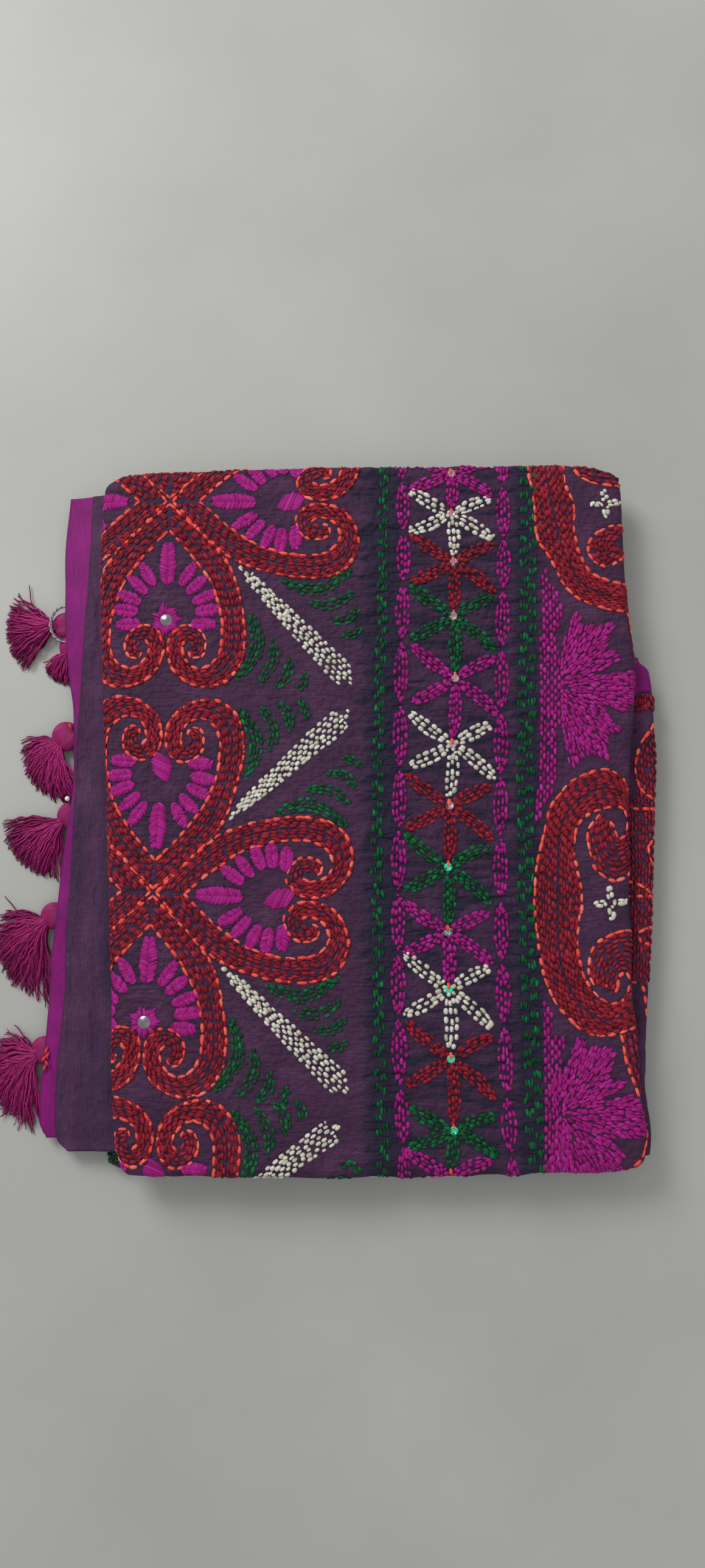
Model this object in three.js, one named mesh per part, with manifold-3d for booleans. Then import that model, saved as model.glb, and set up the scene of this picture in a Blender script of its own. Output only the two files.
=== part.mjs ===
// A folded saree laid flat: a kantha-stitched pallu on top of the folded length, with its plain
// hem, magenta end border and tassels drawn out on the left, and a lower run of the same cloth
// standing out on the right.
// Millimetres, +Z up. The origin is under the middle of the whole, on the plane it rests on.
import * as THREE from "three";
import { mergeVertices } from "three/addons/utils/BufferGeometryUtils.js";
import Module from "manifold-3d";

const wasm = await Module();
wasm.setup();

// ---- driving sizes -------------------------------------------------------------------------
const CLOTH = 1.4; // one stitched wall: two plies quilted together
const SEAM = 0.3; // between neighbouring pieces
const TOP_Z = 31; // height of the folded packet at its middle
const FOLD_R = 5.2; // outside of the turn along the edges of the top run
const FOLD_TURN = 160; // degrees that the top run turns, over each edge and in below itself
const FOLD_STEPS = [34, 66, 96, 128]; // degrees at which a turn has a line of points

// The packet is fuller in its middle than along its edges, with slow waves between.
const CROWN = { edgeDrop: 1.6, halfX: 178, halfY: 237, midY: 5 };
const WAVES = [
  { height: 0.5, lengthX: 396, lengthY: 510, shift: 1.3 },
  { height: 0.35, lengthX: 232, lengthY: -346, shift: 0.2 },
];

// Relief of the stitched face: pads between the lines of running stitch that quilt it.
const QUILT = { pad: 0.7, width: 5, padLength: 61 };
const QUILT_LINES = [-118, -62, 11, 62, 112, 150];
const QUILT_HALF_WIDTH = 170; // of the top run, in which the lines are placed

// Left and right edges of the top run, and the right-hand edge of the run below it.
const EDGES_BY_Y = [
  { y: -232, left: -166, right: 166, below: 160 },
  { y: -212, left: -169.5, right: 169, below: 166 },
  { y: -180, left: -172, right: 166.5, below: 173 },
  { y: -134, left: -173.5, right: 165.5, below: 177 },
  { y: -75, left: -174.5, right: 166, below: 183 },
  { y: -20, left: -175.5, right: 168, below: 187.5 },
  { y: 35, left: -177.5, right: 172, below: 192 },
  { y: 65, left: -179, right: 175.5, below: 192.5 },
  { y: 95, left: -180, right: 179, below: 191 },
  { y: 106, left: -180.3, right: 178, below: 184 },
  { y: 140, left: -181, right: 175, below: 174 },
  { y: 195, left: -181.5, right: 175, below: 172 },
  { y: 228, left: -180, right: 174, below: 170 },
  { y: 242, left: -176, right: 168, below: 165 },
];

// Lower and upper edges of the top run.
const EDGES_BY_X = [
  { x: -182, bottom: -220, top: 231 },
  { x: -165, bottom: -227.5, top: 239.5 },
  { x: -106, bottom: -229.5, top: 241 },
  { x: -74, bottom: -230.5, top: 242 },
  { x: 0, bottom: -232, top: 241.5 },
  { x: 90, bottom: -231.5, top: 239 },
  { x: 150, bottom: -231, top: 237 },
  { x: 168, bottom: -228, top: 232 },
  { x: 180, bottom: -224, top: 224 },
];

const SPAN_Y = { from: -220, to: 242 }; // of the side edges

// The runs inside the packet, side by side as seen in section: from and to are heights, reach is
// how far each stands out past the edge of the top run, or in from it where it is negative.
const RUNS = {
  left: [
    { from: 0, to: 4.6, reach: 10.5 },
    { from: 4.8, to: 9.2, reach: 1.6 },
    { from: 9.5, to: 13, reach: 0 },
    { from: 13.2, to: 16.4, reach: -3.2 },
  ],
  right: [
    { from: 0, to: 4.6, reach: -1.5 },
    { from: 4.8, to: 9.2, reach: -2.5 },
    { from: 11.5, to: 14.8, reach: -3.4 },
    { from: 14.8, to: 18.2, reach: -3.4 },
  ],
  bottom: [
    { from: 0, to: 4.6, reach: -4 },
    { from: 4.8, to: 9.2, reach: -1.5 },
    { from: 9.4, to: 14, reach: -3.5 },
    { from: 14.2, to: 18.6, reach: -2 },
  ],
  top: [
    { from: 0, to: 4.6, reach: -9 },
    { from: 4.8, to: 9.2, reach: -5 },
    { from: 9.4, to: 14, reach: -7 },
    { from: 14.2, to: 18.6, reach: -3 },
  ],
};
const NECK = -6.4; // reach between the runs, just inside the middle of the top run's turn
const LEVELS = [
  0, 0.5, 1.4, 3.2, 4.2, 4.7, 5.3, 6.0, 7.0, 7.9, 8.7, 9.3, 9.6, 10.3, 11.3, 11.8, 12.6, 13.1, 13.7, 14.1,
  14.8, 15.7, 16.3, 17.3, 18.2, 18.7, 20.9,
];
const RIGHT_GROOVE = { from: 9.2, to: 11.5, reach: -14 }; // where the lower run folds back in
const RIGHT_TOP = 18.4; // height up to which the runs on the right follow the lower one's edge
const RIGHT_SHIFT = { from: 84, to: 98, in: -4 }; // where the runs below draw in to the edge above
const EDGE_WAVE = { height: 1.1, length: 163, perRun: 3 }; // unevenness of the runs along the packet
const CORE_CORNER = 8;
const CORE_STEPS = { x: 10, y: 13, extraY: [0.31, 0.36, 0.4, 0.44], corner: 3 };
const FILL_TURN = [150, 120, 90, 55, 22];
const CORE_TOP_RINGS = [0.97, 0.8, 0.6, 0.4, 0.2];
const SLACK = 0.5; // air under the middle of the top run

// The end border and the hem on it droop to the left: outer edges, the height that the tassel
// heads carry the border's edge at, and how the hem's strip bends up in places.
const HEM_CLOTH = { wall: 1.7, edge: 2.6 }; // two plies, and the fold along its edge
const HEM_ENDS = { bottom: -215, top: 231 };
const HEM_ROWS = [
  { y: -215, edge: -206, bend: 0.1 },
  { y: -207, edge: -213.5, bend: 0.1 },
  { y: -165, edge: -213, bend: 0.7 },
  { y: -120, edge: -209.5, bend: 0.2 },
  { y: -78, edge: -207.5, bend: 0.9 },
  { y: -11, edge: -203, bend: 0.2 },
  { y: 32, edge: -200.5, bend: 0.8 },
  { y: 103, edge: -197.5, bend: 0.2 },
  { y: 173, edge: -193.5, bend: 0.7 },
  { y: 231, edge: -191.5, bend: 0.1 },
];
const BORDER_CLOTH = 1.2;
const BORDER_ENDS = { bottom: -206.5, top: 232 };
const BORDER_ROWS = [
  { y: -206, edge: -221, lift: 7.2 },
  { y: -197, edge: -225.5, lift: 7.6 },
  { y: -162, edge: -223.5, lift: 9.6 },
  { y: -140, edge: -221.5, lift: 9.0 },
  { y: -112, edge: -220, lift: 7.0 },
  { y: -91, edge: -219, lift: 8.2 },
  { y: -64, edge: -215.5, lift: 9.8 },
  { y: -35, edge: -213, lift: 8.2 },
  { y: 2, edge: -208, lift: 9.7 },
  { y: 30, edge: -205, lift: 7.8 },
  { y: 62, edge: -204.5, lift: 9.7 },
  { y: 83, edge: -205.5, lift: 8.4 },
  { y: 105, edge: -208.8, lift: 7.6 },
  { y: 141, edge: -211, lift: 9.8 },
  { y: 165, edge: -211.5, lift: 8.2 },
  { y: 195, edge: -212, lift: 6.8 },
  { y: 231, edge: -208.5, lift: 7.2 },
];
const ROOT_X = -1.3; // where both come out, from the middle of the top run's turn
const ROOT_TOP = 17.8; // the border's upper face there

// The folded-back runs that show at the right and at the lower left: the heights of their outer
// faces, how far the lip runs back, where they lie, and the corner of each, seen from above.
const RIGHT_RUN = { top: 20.4, bottom: 9.7, lip: 2, from: -224, seam: 80, to: 104.5, corner: 9 };
const LEFT_RUN = { top: 9.1, bottom: 4.9, lip: 4, from: -226.5, to: -60, corner: 5 };
const LEFT_REACH = { edge: 11.5, root: 2.5 }; // how far it stands out from the edge above it
const STRIP_STEPS = 6; // across a strip
const STRIP_EDGE = { round: 0.22, nose: 0.35 }; // of its thickness
const BORDER_FALL = 1.7; // how steeply the border falls at first

// Tassels lie on the floor, each tied under the border's edge: head centre, middle direction of
// its skirt in degrees, spread, and the reach of its locks at the two sides of the spread.
const TASSELS = [
  { x: -217.5, y: 141, aim: 184, spread: 74, near: 36, far: 36, perRow: 8 },
  { x: -215.5, y: 119, aim: 260, spread: 44, near: 17, far: 19, perRow: 5 },
  { x: -211.5, y: 62, aim: 222, spread: 104, near: 28, far: 45, perRow: 8 },
  { x: -215.5, y: 3, aim: 232, spread: 78, near: 39, far: 38, perRow: 8 },
  { x: -221.5, y: -63, aim: 218, spread: 100, near: 33, far: 62, perRow: 8 },
  { x: -227, y: -152, aim: 208, spread: 128, near: 27, far: 58, perRow: 8 },
];
const HEAD = { length: 7.5, width: 6.5, halfHeight: 3.8, z: 4.3 };
const TIE = { width: 2.4, height: 1.4, inside: 7.5, length: 13 }; // the loop that the head hangs by
const LOCK_ROWS = [
  { root: 2.3, tip: 1.0, shift: 0.25, reach: 1.0 },
  { root: 4.2, tip: 2.5, shift: 0.75, reach: 0.96 },
  { root: 6.0, tip: 4.0, shift: 0.5, reach: 0.9 },
];
const LOCK = { from: 3.5, height: 1.25, fill: 0.74, widest: 3.2, bend: 9, uneven: 0.07 };
const LOCK_STATIONS = [0, 0.3, 0.68, 1];

// Colours as dyed.
const COLOURS = { plum: 0x4a3350, stitched: 0x5a2440, magenta: 0x8d1a8a, tassel: 0x8c1668, plies: 0x45304c };

// ---- tables, curves and the packet's form --------------------------------------------------

const mix = (a, b, t) => a + (b - a) * t;
const steps = (from, to, count) => Array.from({ length: count + 1 }, (_, i) => mix(from, to, i / count));

// Reads a column of a table at a place between its rows, along one smooth curve.
function at(rows, key, column, place) {
  const last = rows.length - 1;
  if (place <= rows[0][key]) return rows[0][column];
  if (place >= rows[last][key]) return rows[last][column];
  const i = rows.findIndex((row) => row[key] > place) - 1;
  const slope = (k) => {
    const a = rows[Math.max(k - 1, 0)];
    const b = rows[Math.min(k + 1, last)];
    return (b[column] - a[column]) / (b[key] - a[key]);
  };
  const span = rows[i + 1][key] - rows[i][key];
  const t = (place - rows[i][key]) / span;
  const rise = t * t * (3 - 2 * t);
  const bow = t * (1 - t);
  return (
    mix(rows[i][column], rows[i + 1][column], rise) +
    bow * span * (slope(i) * (1 - t) - slope(i + 1) * t)
  );
}

// Height of the packet at a place, and a height inside it, which the packet's own scales.
function height(x, y) {
  const across = Math.abs(x) / CROWN.halfX;
  const along = Math.abs(y - CROWN.midY) / CROWN.halfY;
  const waves = WAVES.map(
    (w) =>
      w.height *
      Math.sin((2 * Math.PI * x) / w.lengthX + w.shift) *
      Math.cos((2 * Math.PI * y) / w.lengthY),
  );
  return TOP_Z - CROWN.edgeDrop * (across ** 4 + along ** 4) + waves.reduce((sum, w) => sum + w, 0);
}
const level = (z, x, y) => (z * height(x, y)) / TOP_Z;

// The right-hand edge of the run below, which draws in to the edge above it past its own end.
function lowerRight(y) {
  const over = at(EDGES_BY_Y, "y", "right", y) + RIGHT_SHIFT.in;
  const past = THREE.MathUtils.smoothstep(y, RIGHT_SHIFT.from, RIGHT_SHIFT.to);
  return mix(at(EDGES_BY_Y, "y", "below", y), over, past);
}
const upperRight = (y) => at(EDGES_BY_Y, "y", "right", y);

// A place in the packet from u and v, which run from -1 to 1 between its edges. The reach of each
// side moves that edge out.
function plan(u, v, reach, rightEdge = upperRight) {
  const acrossY = mix(SPAN_Y.from, SPAN_Y.to, (v + 1) / 2);
  const left = at(EDGES_BY_Y, "y", "left", acrossY) - reach.left;
  const right = rightEdge(acrossY) + reach.right;
  const x = mix(left, right, (u + 1) / 2);
  const bottom = at(EDGES_BY_X, "x", "bottom", x) - reach.bottom;
  const top = at(EDGES_BY_X, "x", "top", x) + reach.top;
  return { x, y: mix(bottom, top, (v + 1) / 2) };
}
const evenly = (reach) => ({ left: reach, right: reach, bottom: reach, top: reach });

// ---- solids --------------------------------------------------------------------------------

// Merges the points of a closed solid and turns its faces outward.
function solid(positions, index) {
  let geometry = new THREE.BufferGeometry();
  geometry.setAttribute("position", new THREE.Float32BufferAttribute(positions, 3));
  geometry.setIndex(index);
  geometry = mergeVertices(geometry, 1e-4);
  const p = geometry.attributes.position;
  const corner = (i) => new THREE.Vector3().fromBufferAttribute(p, geometry.index.getX(i));
  let volume = 0;
  for (let i = 0; i < geometry.index.count; i += 3) {
    volume += corner(i).dot(corner(i + 1).cross(corner(i + 2)));
  }
  if (volume < 0) geometry.setIndex(Array.from(geometry.index.array).reverse());
  geometry.computeVertexNormals();
  return geometry;
}

// Two triangles for each cell between two rows of point numbers.
function band(index, rowA, rowB, closedRow) {
  const count = closedRow ? rowA.length : rowA.length - 1;
  for (let i = 0; i < count; i++) {
    const j = (i + 1) % rowA.length;
    index.push(rowA[i], rowA[j], rowB[j], rowA[i], rowB[j], rowB[i]);
  }
}

// A solid through sections, each a ring of the same number of points, with a flat cap at each
// end. The cap is worked out in the two named directions of the section.
function loft(sections, capAxes) {
  const size = sections[0].length;
  const index = [];
  const row = (s) => Array.from({ length: size }, (_, i) => s * size + i);
  for (let s = 0; s + 1 < sections.length; s++) band(index, row(s), row(s + 1), true);
  for (const s of [0, sections.length - 1]) {
    const outline = sections[s].map((p) => new THREE.Vector2(p[capAxes[0]], p[capAxes[1]]));
    const ringTurns = Math.sign(THREE.ShapeUtils.area(outline));
    for (const face of THREE.ShapeUtils.triangulateShape(outline, [])) {
      const turns = Math.sign(THREE.ShapeUtils.area(face.map((i) => outline[i])));
      const along = turns === ringTurns;
      const wanted = s !== 0;
      const [a, b, c] = face.map((i) => s * size + i);
      index.push(...(along === wanted ? [a, b, c] : [a, c, b]));
    }
  }
  return solid(sections.flat().flatMap((p) => [p.x, p.y, p.z]), index);
}

// A wall from two grids of points, one for each face, joined round the rim.
function wall(outer, inner) {
  const [rows, columns] = [outer.length, outer[0].length];
  const outerAt = (r, c) => r * columns + c;
  const innerAt = (r, c) => rows * columns + r * columns + c;
  const index = [];
  const line = (pick, r) => Array.from({ length: columns }, (_, c) => pick(r, c));
  for (let r = 0; r + 1 < rows; r++) {
    band(index, line(outerAt, r), line(outerAt, r + 1), false);
    band(index, line(innerAt, r + 1), line(innerAt, r), false);
  }
  const rim = (pick) => [
    ...steps(0, columns - 1, columns - 1).map((c) => pick(0, c)),
    ...steps(1, rows - 1, rows - 2).map((r) => pick(r, columns - 1)),
    ...steps(1, columns - 1, columns - 2).map((c) => pick(rows - 1, columns - 1 - c)),
    ...steps(1, rows - 2, rows - 3).map((r) => pick(rows - 1 - r, 0)),
  ];
  band(index, rim(innerAt), rim(outerAt), true);
  return solid([...outer.flat(), ...inner.flat()].flatMap((p) => [p.x, p.y, p.z]), index);
}

// ---- the top run ---------------------------------------------------------------------------

// How proud the quilted face stands at a place: level on each line of stitches, padded between.
function quilt(x, y) {
  const fromLine = Math.min(...QUILT_LINES.map((line) => Math.abs(x - line)));
  const swell = 0.75 + 0.25 * Math.sin((2 * Math.PI * y) / QUILT.padLength + x / 24);
  return QUILT.pad * Math.min(fromLine / QUILT.width, 1) * swell;
}

// Stations across a grid: -1 to 1 over the flat, with the turn at each end.
function turnStations(flat) {
  const turn = [...FOLD_STEPS, FOLD_TURN];
  return [
    ...turn.toReversed().map((degrees) => ({ place: -1, turn: -degrees })),
    ...flat.map((place) => ({ place, turn: 0 })),
    ...turn.map((degrees) => ({ place: 1, turn: degrees })),
  ];
}

// One point of the top run, on the face at the given radius of its turn.
function topRunPoint(across, along, radius, pad) {
  const base = plan(across.place, along.place, evenly(-FOLD_R));
  const turn = THREE.MathUtils.degToRad(Math.max(Math.abs(across.turn), Math.abs(along.turn)));
  const spin = Math.hypot(across.turn, along.turn) || 1;
  const out = radius * Math.sin(turn);
  const x = base.x + (out * across.turn) / spin;
  const y = base.y + (out * along.turn) / spin;
  const middle = height(base.x, base.y) - FOLD_R;
  return { x, y, z: middle + radius * Math.cos(turn) + (turn === 0 ? pad(x, y) : 0) };
}

function palluFace() {
  const quiltPlaces = QUILT_LINES.flatMap((x) =>
    [-QUILT.width, 0, QUILT.width].map((off) => (x + off) / QUILT_HALF_WIDTH),
  ).filter((place) => Math.abs(place) < 0.97);
  const across = turnStations([-1, ...quiltPlaces, 1].sort((a, b) => a - b));
  const along = turnStations(steps(-1, 1, 20));
  const face = (radius, pad) => along.map((v) => across.map((u) => topRunPoint(u, v, radius, pad)));
  return wall(face(FOLD_R, quilt), face(FOLD_R - CLOTH, () => 0));
}

// ---- the hidden layers ---------------------------------------------------------------------

// How far a side stands out at a height: each run is round at its edge, and between runs it
// draws in to the neck.
function sideReach(runs, z, neck) {
  const run = runs.find((r) => z > r.from && z < r.to);
  if (!run) return neck;
  const half = (run.to - run.from) / 2;
  const off = Math.abs(z - run.from - half) / half;
  return Math.max(run.reach - half * (1 - Math.sqrt(1 - off * off)), neck);
}

const inGroove = (z) => z > RIGHT_GROOVE.from && z < RIGHT_GROOVE.to;

// The outline of the packet as u and v round a rectangle with round corners.
const CORE_OUTLINE = (() => {
  const corner = { u: CORE_CORNER / CROWN.halfX, v: CORE_CORNER / CROWN.halfY };
  const run = (count, limit) => steps(-limit, limit, count).slice(0, -1);
  const alongX = run(CORE_STEPS.x, 1 - corner.u);
  const alongY = run(CORE_STEPS.y, 1 - corner.v);
  const rightSide = [...alongY, ...CORE_STEPS.extraY].sort((a, b) => a - b);
  const quarters = [
    { side: alongX.map((u) => ({ u, v: -1 })), turn: -90, u: 1, v: -1 },
    { side: rightSide.map((v) => ({ u: 1, v })), turn: 0, u: 1, v: 1 },
    { side: alongX.map((u) => ({ u: -u, v: 1 })), turn: 90, u: -1, v: 1 },
    { side: alongY.map((v) => ({ u: -1, v: -v })), turn: 180, u: -1, v: -1 },
  ];
  return quarters.flatMap((quarter) => [
    ...quarter.side,
    ...run(CORE_STEPS.corner, 45).map((degrees) => {
      const angle = THREE.MathUtils.degToRad(degrees + 45 + quarter.turn);
      return {
        u: quarter.u * (1 - corner.u) + corner.u * Math.cos(angle),
        v: quarter.v * (1 - corner.v) + corner.v * Math.sin(angle),
      };
    }),
  ]);
})();

// A ring of the core at a nominal height, moved out by the reach of each side. The free runs
// wander a little along the packet, so that their edges don't line up.
function coreRing(reach, z, rightEdge = upperRight, shrink = 1) {
  return CORE_OUTLINE.map(({ u, v }) => {
    const place = (u * CROWN.halfX + v * CROWN.halfY) / EDGE_WAVE.length;
    const wander = EDGE_WAVE.height * (Math.sin(2 * Math.PI * place + z / EDGE_WAVE.perRun) - 1);
    const loose = Object.fromEntries(
      Object.entries(reach).map(([side, out]) => [side, out > NECK + 1.5 ? out + wander : out]),
    );
    const { x, y } = plan(u * shrink, v * shrink, loose, rightEdge);
    return { x, y, z: level(z, x, y) };
  });
}

// All plies that don't show: runs one above another, round and layered along the edges, and a
// fill that swells up into the top run.
function hiddenLayers() {
  const rings = LEVELS.map((z) =>
    coreRing(
      {
        left: sideReach(RUNS.left, z, NECK),
        right: sideReach(RUNS.right, z, inGroove(z) ? RIGHT_GROOVE.reach : NECK),
        bottom: sideReach(RUNS.bottom, z, NECK),
        top: sideReach(RUNS.top, z, NECK),
      },
      z,
      z < RIGHT_TOP ? lowerRight : upperRight,
    ),
  );
  const fill = FOLD_R - CLOTH - SEAM;
  for (const degrees of FILL_TURN) {
    const angle = THREE.MathUtils.degToRad(degrees);
    const ring = coreRing(evenly(NECK + fill * Math.sin(angle)), TOP_Z);
    rings.push(ring.map((p) => ({ ...p, z: p.z - FOLD_R + fill * Math.cos(angle) })));
  }
  const crownZ = (p) => ({ ...p, z: p.z - CLOTH - SEAM - SLACK });
  for (const shrink of CORE_TOP_RINGS) {
    rings.push(coreRing(evenly(NECK), TOP_Z, upperRight, shrink).map(crownZ));
  }
  return loft(rings, ["x", "y"]);
}

// ---- the strips on the left ----------------------------------------------------------------

// How far in the outer edge lies near a run's end, where its corner is rounded.
function roundOff(y, { from, to, corner }) {
  const past = Math.max(from + corner - y, y - to + corner, 0);
  return corner - Math.sqrt(Math.max(corner ** 2 - past ** 2, 0));
}

// Where the strips come out, level with the middle of the top run's turn on the left.
const rootX = (y) => at(EDGES_BY_Y, "y", "left", y) + FOLD_R + ROOT_X;

// The upper face of the border at a place: it falls from its root to the height that it is
// carried at along its edge, steeply at first.
function borderTop(x, y) {
  const edge = at(BORDER_ROWS, "y", "edge", y);
  const lift = at(BORDER_ROWS, "y", "lift", y);
  const root = rootX(y);
  const out = THREE.MathUtils.clamp((root - x) / (root - edge), 0, 1);
  return mix(level(ROOT_TOP, root, y), lift, 1 - (1 - out) ** BORDER_FALL);
}

// A strip's section: along its upper face to the edge, round it, and back along the lower face.
function stripSection(y, root, edge, topAt, thicknessAt) {
  const along = steps(0, 1, STRIP_STEPS);
  const places = along.map((t) => ({
    x: mix(root, edge, t),
    thickness: thicknessAt(t),
    round: t === 1 ? thicknessAt(t) * STRIP_EDGE.round : 0,
  }));
  const upper = places.map(({ x, round }) => ({ x, y, z: topAt(x) - round }));
  const lower = places.map(({ x, thickness, round }) => ({ x, y, z: topAt(x) - thickness + round }));
  const nose = { x: edge - thicknessAt(1) * STRIP_EDGE.nose, y, z: topAt(edge) - thicknessAt(1) / 2 };
  return [...upper, nose, ...lower.toReversed()];
}

function magentaBorder() {
  const sections = steps(BORDER_ENDS.bottom, BORDER_ENDS.top, 24).map((y) =>
    stripSection(y, rootX(y), at(BORDER_ROWS, "y", "edge", y), (x) => borderTop(x, y), () => BORDER_CLOTH),
  );
  return loft(sections, ["x", "z"]);
}

// The hem lies on the border, a seam above it, and bends up off it in places.
function plumHem() {
  const thickness = (t) => mix(HEM_CLOTH.wall, HEM_CLOTH.edge, Math.max(0, (t - 0.6) / 0.4));
  const sections = steps(HEM_ENDS.bottom, HEM_ENDS.top, 24).map((y) => {
    const root = rootX(y);
    const edge = at(HEM_ROWS, "y", "edge", y);
    const bend = at(HEM_ROWS, "y", "bend", y);
    const topAt = (x) => {
      const out = (root - x) / (root - edge);
      return borderTop(x, y) + SEAM + thickness(out) + bend * Math.sin((Math.PI * out) / 2);
    };
    return stripSection(y, root, edge, topAt, thickness);
  });
  return loft(sections, ["x", "z"]);
}

// ---- the folded-back runs ------------------------------------------------------------------

// A wall that comes out flat, turns over at its edge and runs back below itself.
function foldedRun({ side, top, bottom, rootAt, edgeAt, lip, places }) {
  const outerR = (top - bottom) / 2;
  const section = (y, radius) => {
    const [root, edge, scale] = [rootAt(y), edgeAt(y), height(side * CROWN.halfX, y) / TOP_Z];
    const centre = { x: edge - side * outerR, z: (top + bottom) / 2 };
    const shares = steps(0, 1, 3).slice(0, -1);
    const flat = shares.map((t) => ({ x: mix(root, centre.x, t), z: centre.z + radius }));
    const turn = steps(90, -90, 6).map((degrees) => {
      const angle = THREE.MathUtils.degToRad(degrees);
      return { x: centre.x + side * radius * Math.cos(angle), z: centre.z + radius * Math.sin(angle) };
    });
    const back = [{ x: centre.x - side * lip, z: centre.z - radius }];
    return [...flat, ...turn, ...back].map((p) => ({ x: p.x, y, z: p.z * scale }));
  };
  const sections = places.map((y) => [...section(y, outerR), ...section(y, outerR - CLOTH).toReversed()]);
  return loft(sections, ["x", "z"]);
}

function rightPiece(from, to, count) {
  const inner = (y) => at(EDGES_BY_Y, "y", "right", y) - FOLD_R + 1;
  const edge = (y) => at(EDGES_BY_Y, "y", "below", y) - roundOff(y, RIGHT_RUN);
  return foldedRun({
    side: 1,
    top: RIGHT_RUN.top,
    bottom: RIGHT_RUN.bottom,
    rootAt: inner,
    edgeAt: (y) => Math.max(edge(y), inner(y) + RIGHT_RUN.top - RIGHT_RUN.bottom),
    lip: RIGHT_RUN.lip,
    places: steps(from, to, count),
  });
}

function lowerLeftReturn() {
  const left = (y) => at(EDGES_BY_Y, "y", "left", y);
  return foldedRun({
    side: -1,
    top: LEFT_RUN.top,
    bottom: LEFT_RUN.bottom,
    rootAt: (y) => left(y) - LEFT_REACH.root,
    edgeAt: (y) => left(y) - LEFT_REACH.edge + roundOff(y, LEFT_RUN),
    lip: LEFT_RUN.lip,
    places: steps(LEFT_RUN.from, LEFT_RUN.to, 10),
  });
}

// ---- tassels -------------------------------------------------------------------------------

function toManifold(geometry) {
  const bare = new THREE.BufferGeometry();
  bare.setAttribute("position", geometry.attributes.position.clone());
  if (geometry.index) bare.setIndex(geometry.index.clone());
  const merged = mergeVertices(bare, 1e-4);
  return new wasm.Manifold(
    new wasm.Mesh({
      numProp: 3,
      vertProperties: new Float32Array(merged.attributes.position.array),
      triVerts: new Uint32Array(merged.index.array),
    }),
  );
}

function fromManifold(manifold) {
  const mesh = manifold.getMesh();
  return solid(Array.from(mesh.vertProperties), Array.from(mesh.triVerts));
}

// The domed head, flattened where it lies and drawn out a little towards its skirt.
function tasselHead({ x, y, aim }) {
  const geometry = new THREE.SphereGeometry(1, 11, 6);
  geometry.rotateX(Math.PI / 2);
  geometry.scale(HEAD.length, HEAD.width, HEAD.halfHeight);
  geometry.rotateZ(THREE.MathUtils.degToRad(aim));
  geometry.translate(x, y, HEAD.z);
  return geometry;
}

// The loop by which the head is tied, running in below the border.
function tasselTie({ x, y }) {
  const top = borderTop(x + TIE.length, y) - BORDER_CLOTH - 1.5 * SEAM;
  const edgeTop = borderTop(x + TIE.inside, y) - BORDER_CLOTH - 1.5 * SEAM;
  const section = (place, z) =>
    [
      [-1, -1],
      [1, -1],
      [1, 0],
      [-1, 0],
    ].map(([side, drop]) => ({ x: place, y: y + (side * TIE.width) / 2, z: z + drop * TIE.height }));
  const sections = [section(x, HEAD.z + 1), section(x + TIE.inside, edgeTop), section(x + TIE.length, top)];
  return loft(sections, ["y", "z"]);
}

// One lock of threads, three-sided, from inside the head out along its own line of the fan.
function tasselLock(tassel, row, k) {
  const spread = THREE.MathUtils.degToRad(tassel.spread);
  const share = (k + row.shift) / tassel.perRow;
  const start = THREE.MathUtils.degToRad(tassel.aim) + spread * (share - 0.5);
  const uneven = 1 - LOCK.uneven * (0.5 + 0.5 * Math.sin(k * 2.4 + row.root * 3 + tassel.y));
  const reach = mix(tassel.near, tassel.far, share) * row.reach * uneven;
  const sections = LOCK_STATIONS.map((t) => {
    const out = mix(LOCK.from, reach, t);
    const angle = start + THREE.MathUtils.degToRad(LOCK.bend) * t * t;
    const width = Math.min((LOCK.fill * out * spread) / tassel.perRow, LOCK.widest) * (t === 1 ? 0.6 : 1);
    const z = mix(row.root, row.tip, THREE.MathUtils.smoothstep(t, 0, 0.8));
    const middle = { x: tassel.x + out * Math.cos(angle), y: tassel.y + out * Math.sin(angle) };
    const aside = { x: -Math.sin(angle), y: Math.cos(angle) };
    const corner = (side, up) => ({
      x: middle.x + (aside.x * side * width) / 2,
      y: middle.y + (aside.y * side * width) / 2,
      z: z + up * LOCK.height,
    });
    return [corner(-1, -0.5), corner(1, -0.5), corner(0, 0.5)];
  });
  return loft(sections, ["y", "z"]);
}

function tassel(place) {
  let whole = toManifold(tasselHead(place)).add(toManifold(tasselTie(place)));
  for (const row of LOCK_ROWS) {
    for (let k = 0; k < place.perRow; k++) whole = whole.add(toManifold(tasselLock(place, row, k)));
  }
  return fromManifold(whole);
}

// ---- the saree -----------------------------------------------------------------------------

const saree = new THREE.Group();
function addPiece(name, geometry, color, roughness) {
  const mesh = new THREE.Mesh(geometry, new THREE.MeshStandardMaterial({ color, roughness, metalness: 0 }));
  mesh.name = name;
  saree.add(mesh);
}

addPiece("hidden_layers", hiddenLayers(), COLOURS.plies, 0.85);
addPiece("pallu_face", palluFace(), COLOURS.stitched, 0.8);
addPiece("plum_hem", plumHem(), COLOURS.plum, 0.7);
addPiece("magenta_border", magentaBorder(), COLOURS.magenta, 0.6);
addPiece("right_stretch", rightPiece(RIGHT_RUN.from, RIGHT_RUN.seam, 18), COLOURS.stitched, 0.8);
addPiece("right_border", rightPiece(RIGHT_RUN.seam + SEAM, RIGHT_RUN.to, 6), COLOURS.magenta, 0.6);
addPiece("lower_left_return", lowerLeftReturn(), COLOURS.plum, 0.8);
TASSELS.forEach((place, i) => addPiece(`tassel_${i + 1}`, tassel(place), COLOURS.tassel, 0.75));

// Everything above is laid out from the middle of the top run; the whole then moves to stand
// over its own origin.
const bounds = new THREE.Box3().setFromObject(saree);
const middle = bounds.getCenter(new THREE.Vector3());
saree.position.set(-middle.x, -middle.y, -bounds.min.z);

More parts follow.
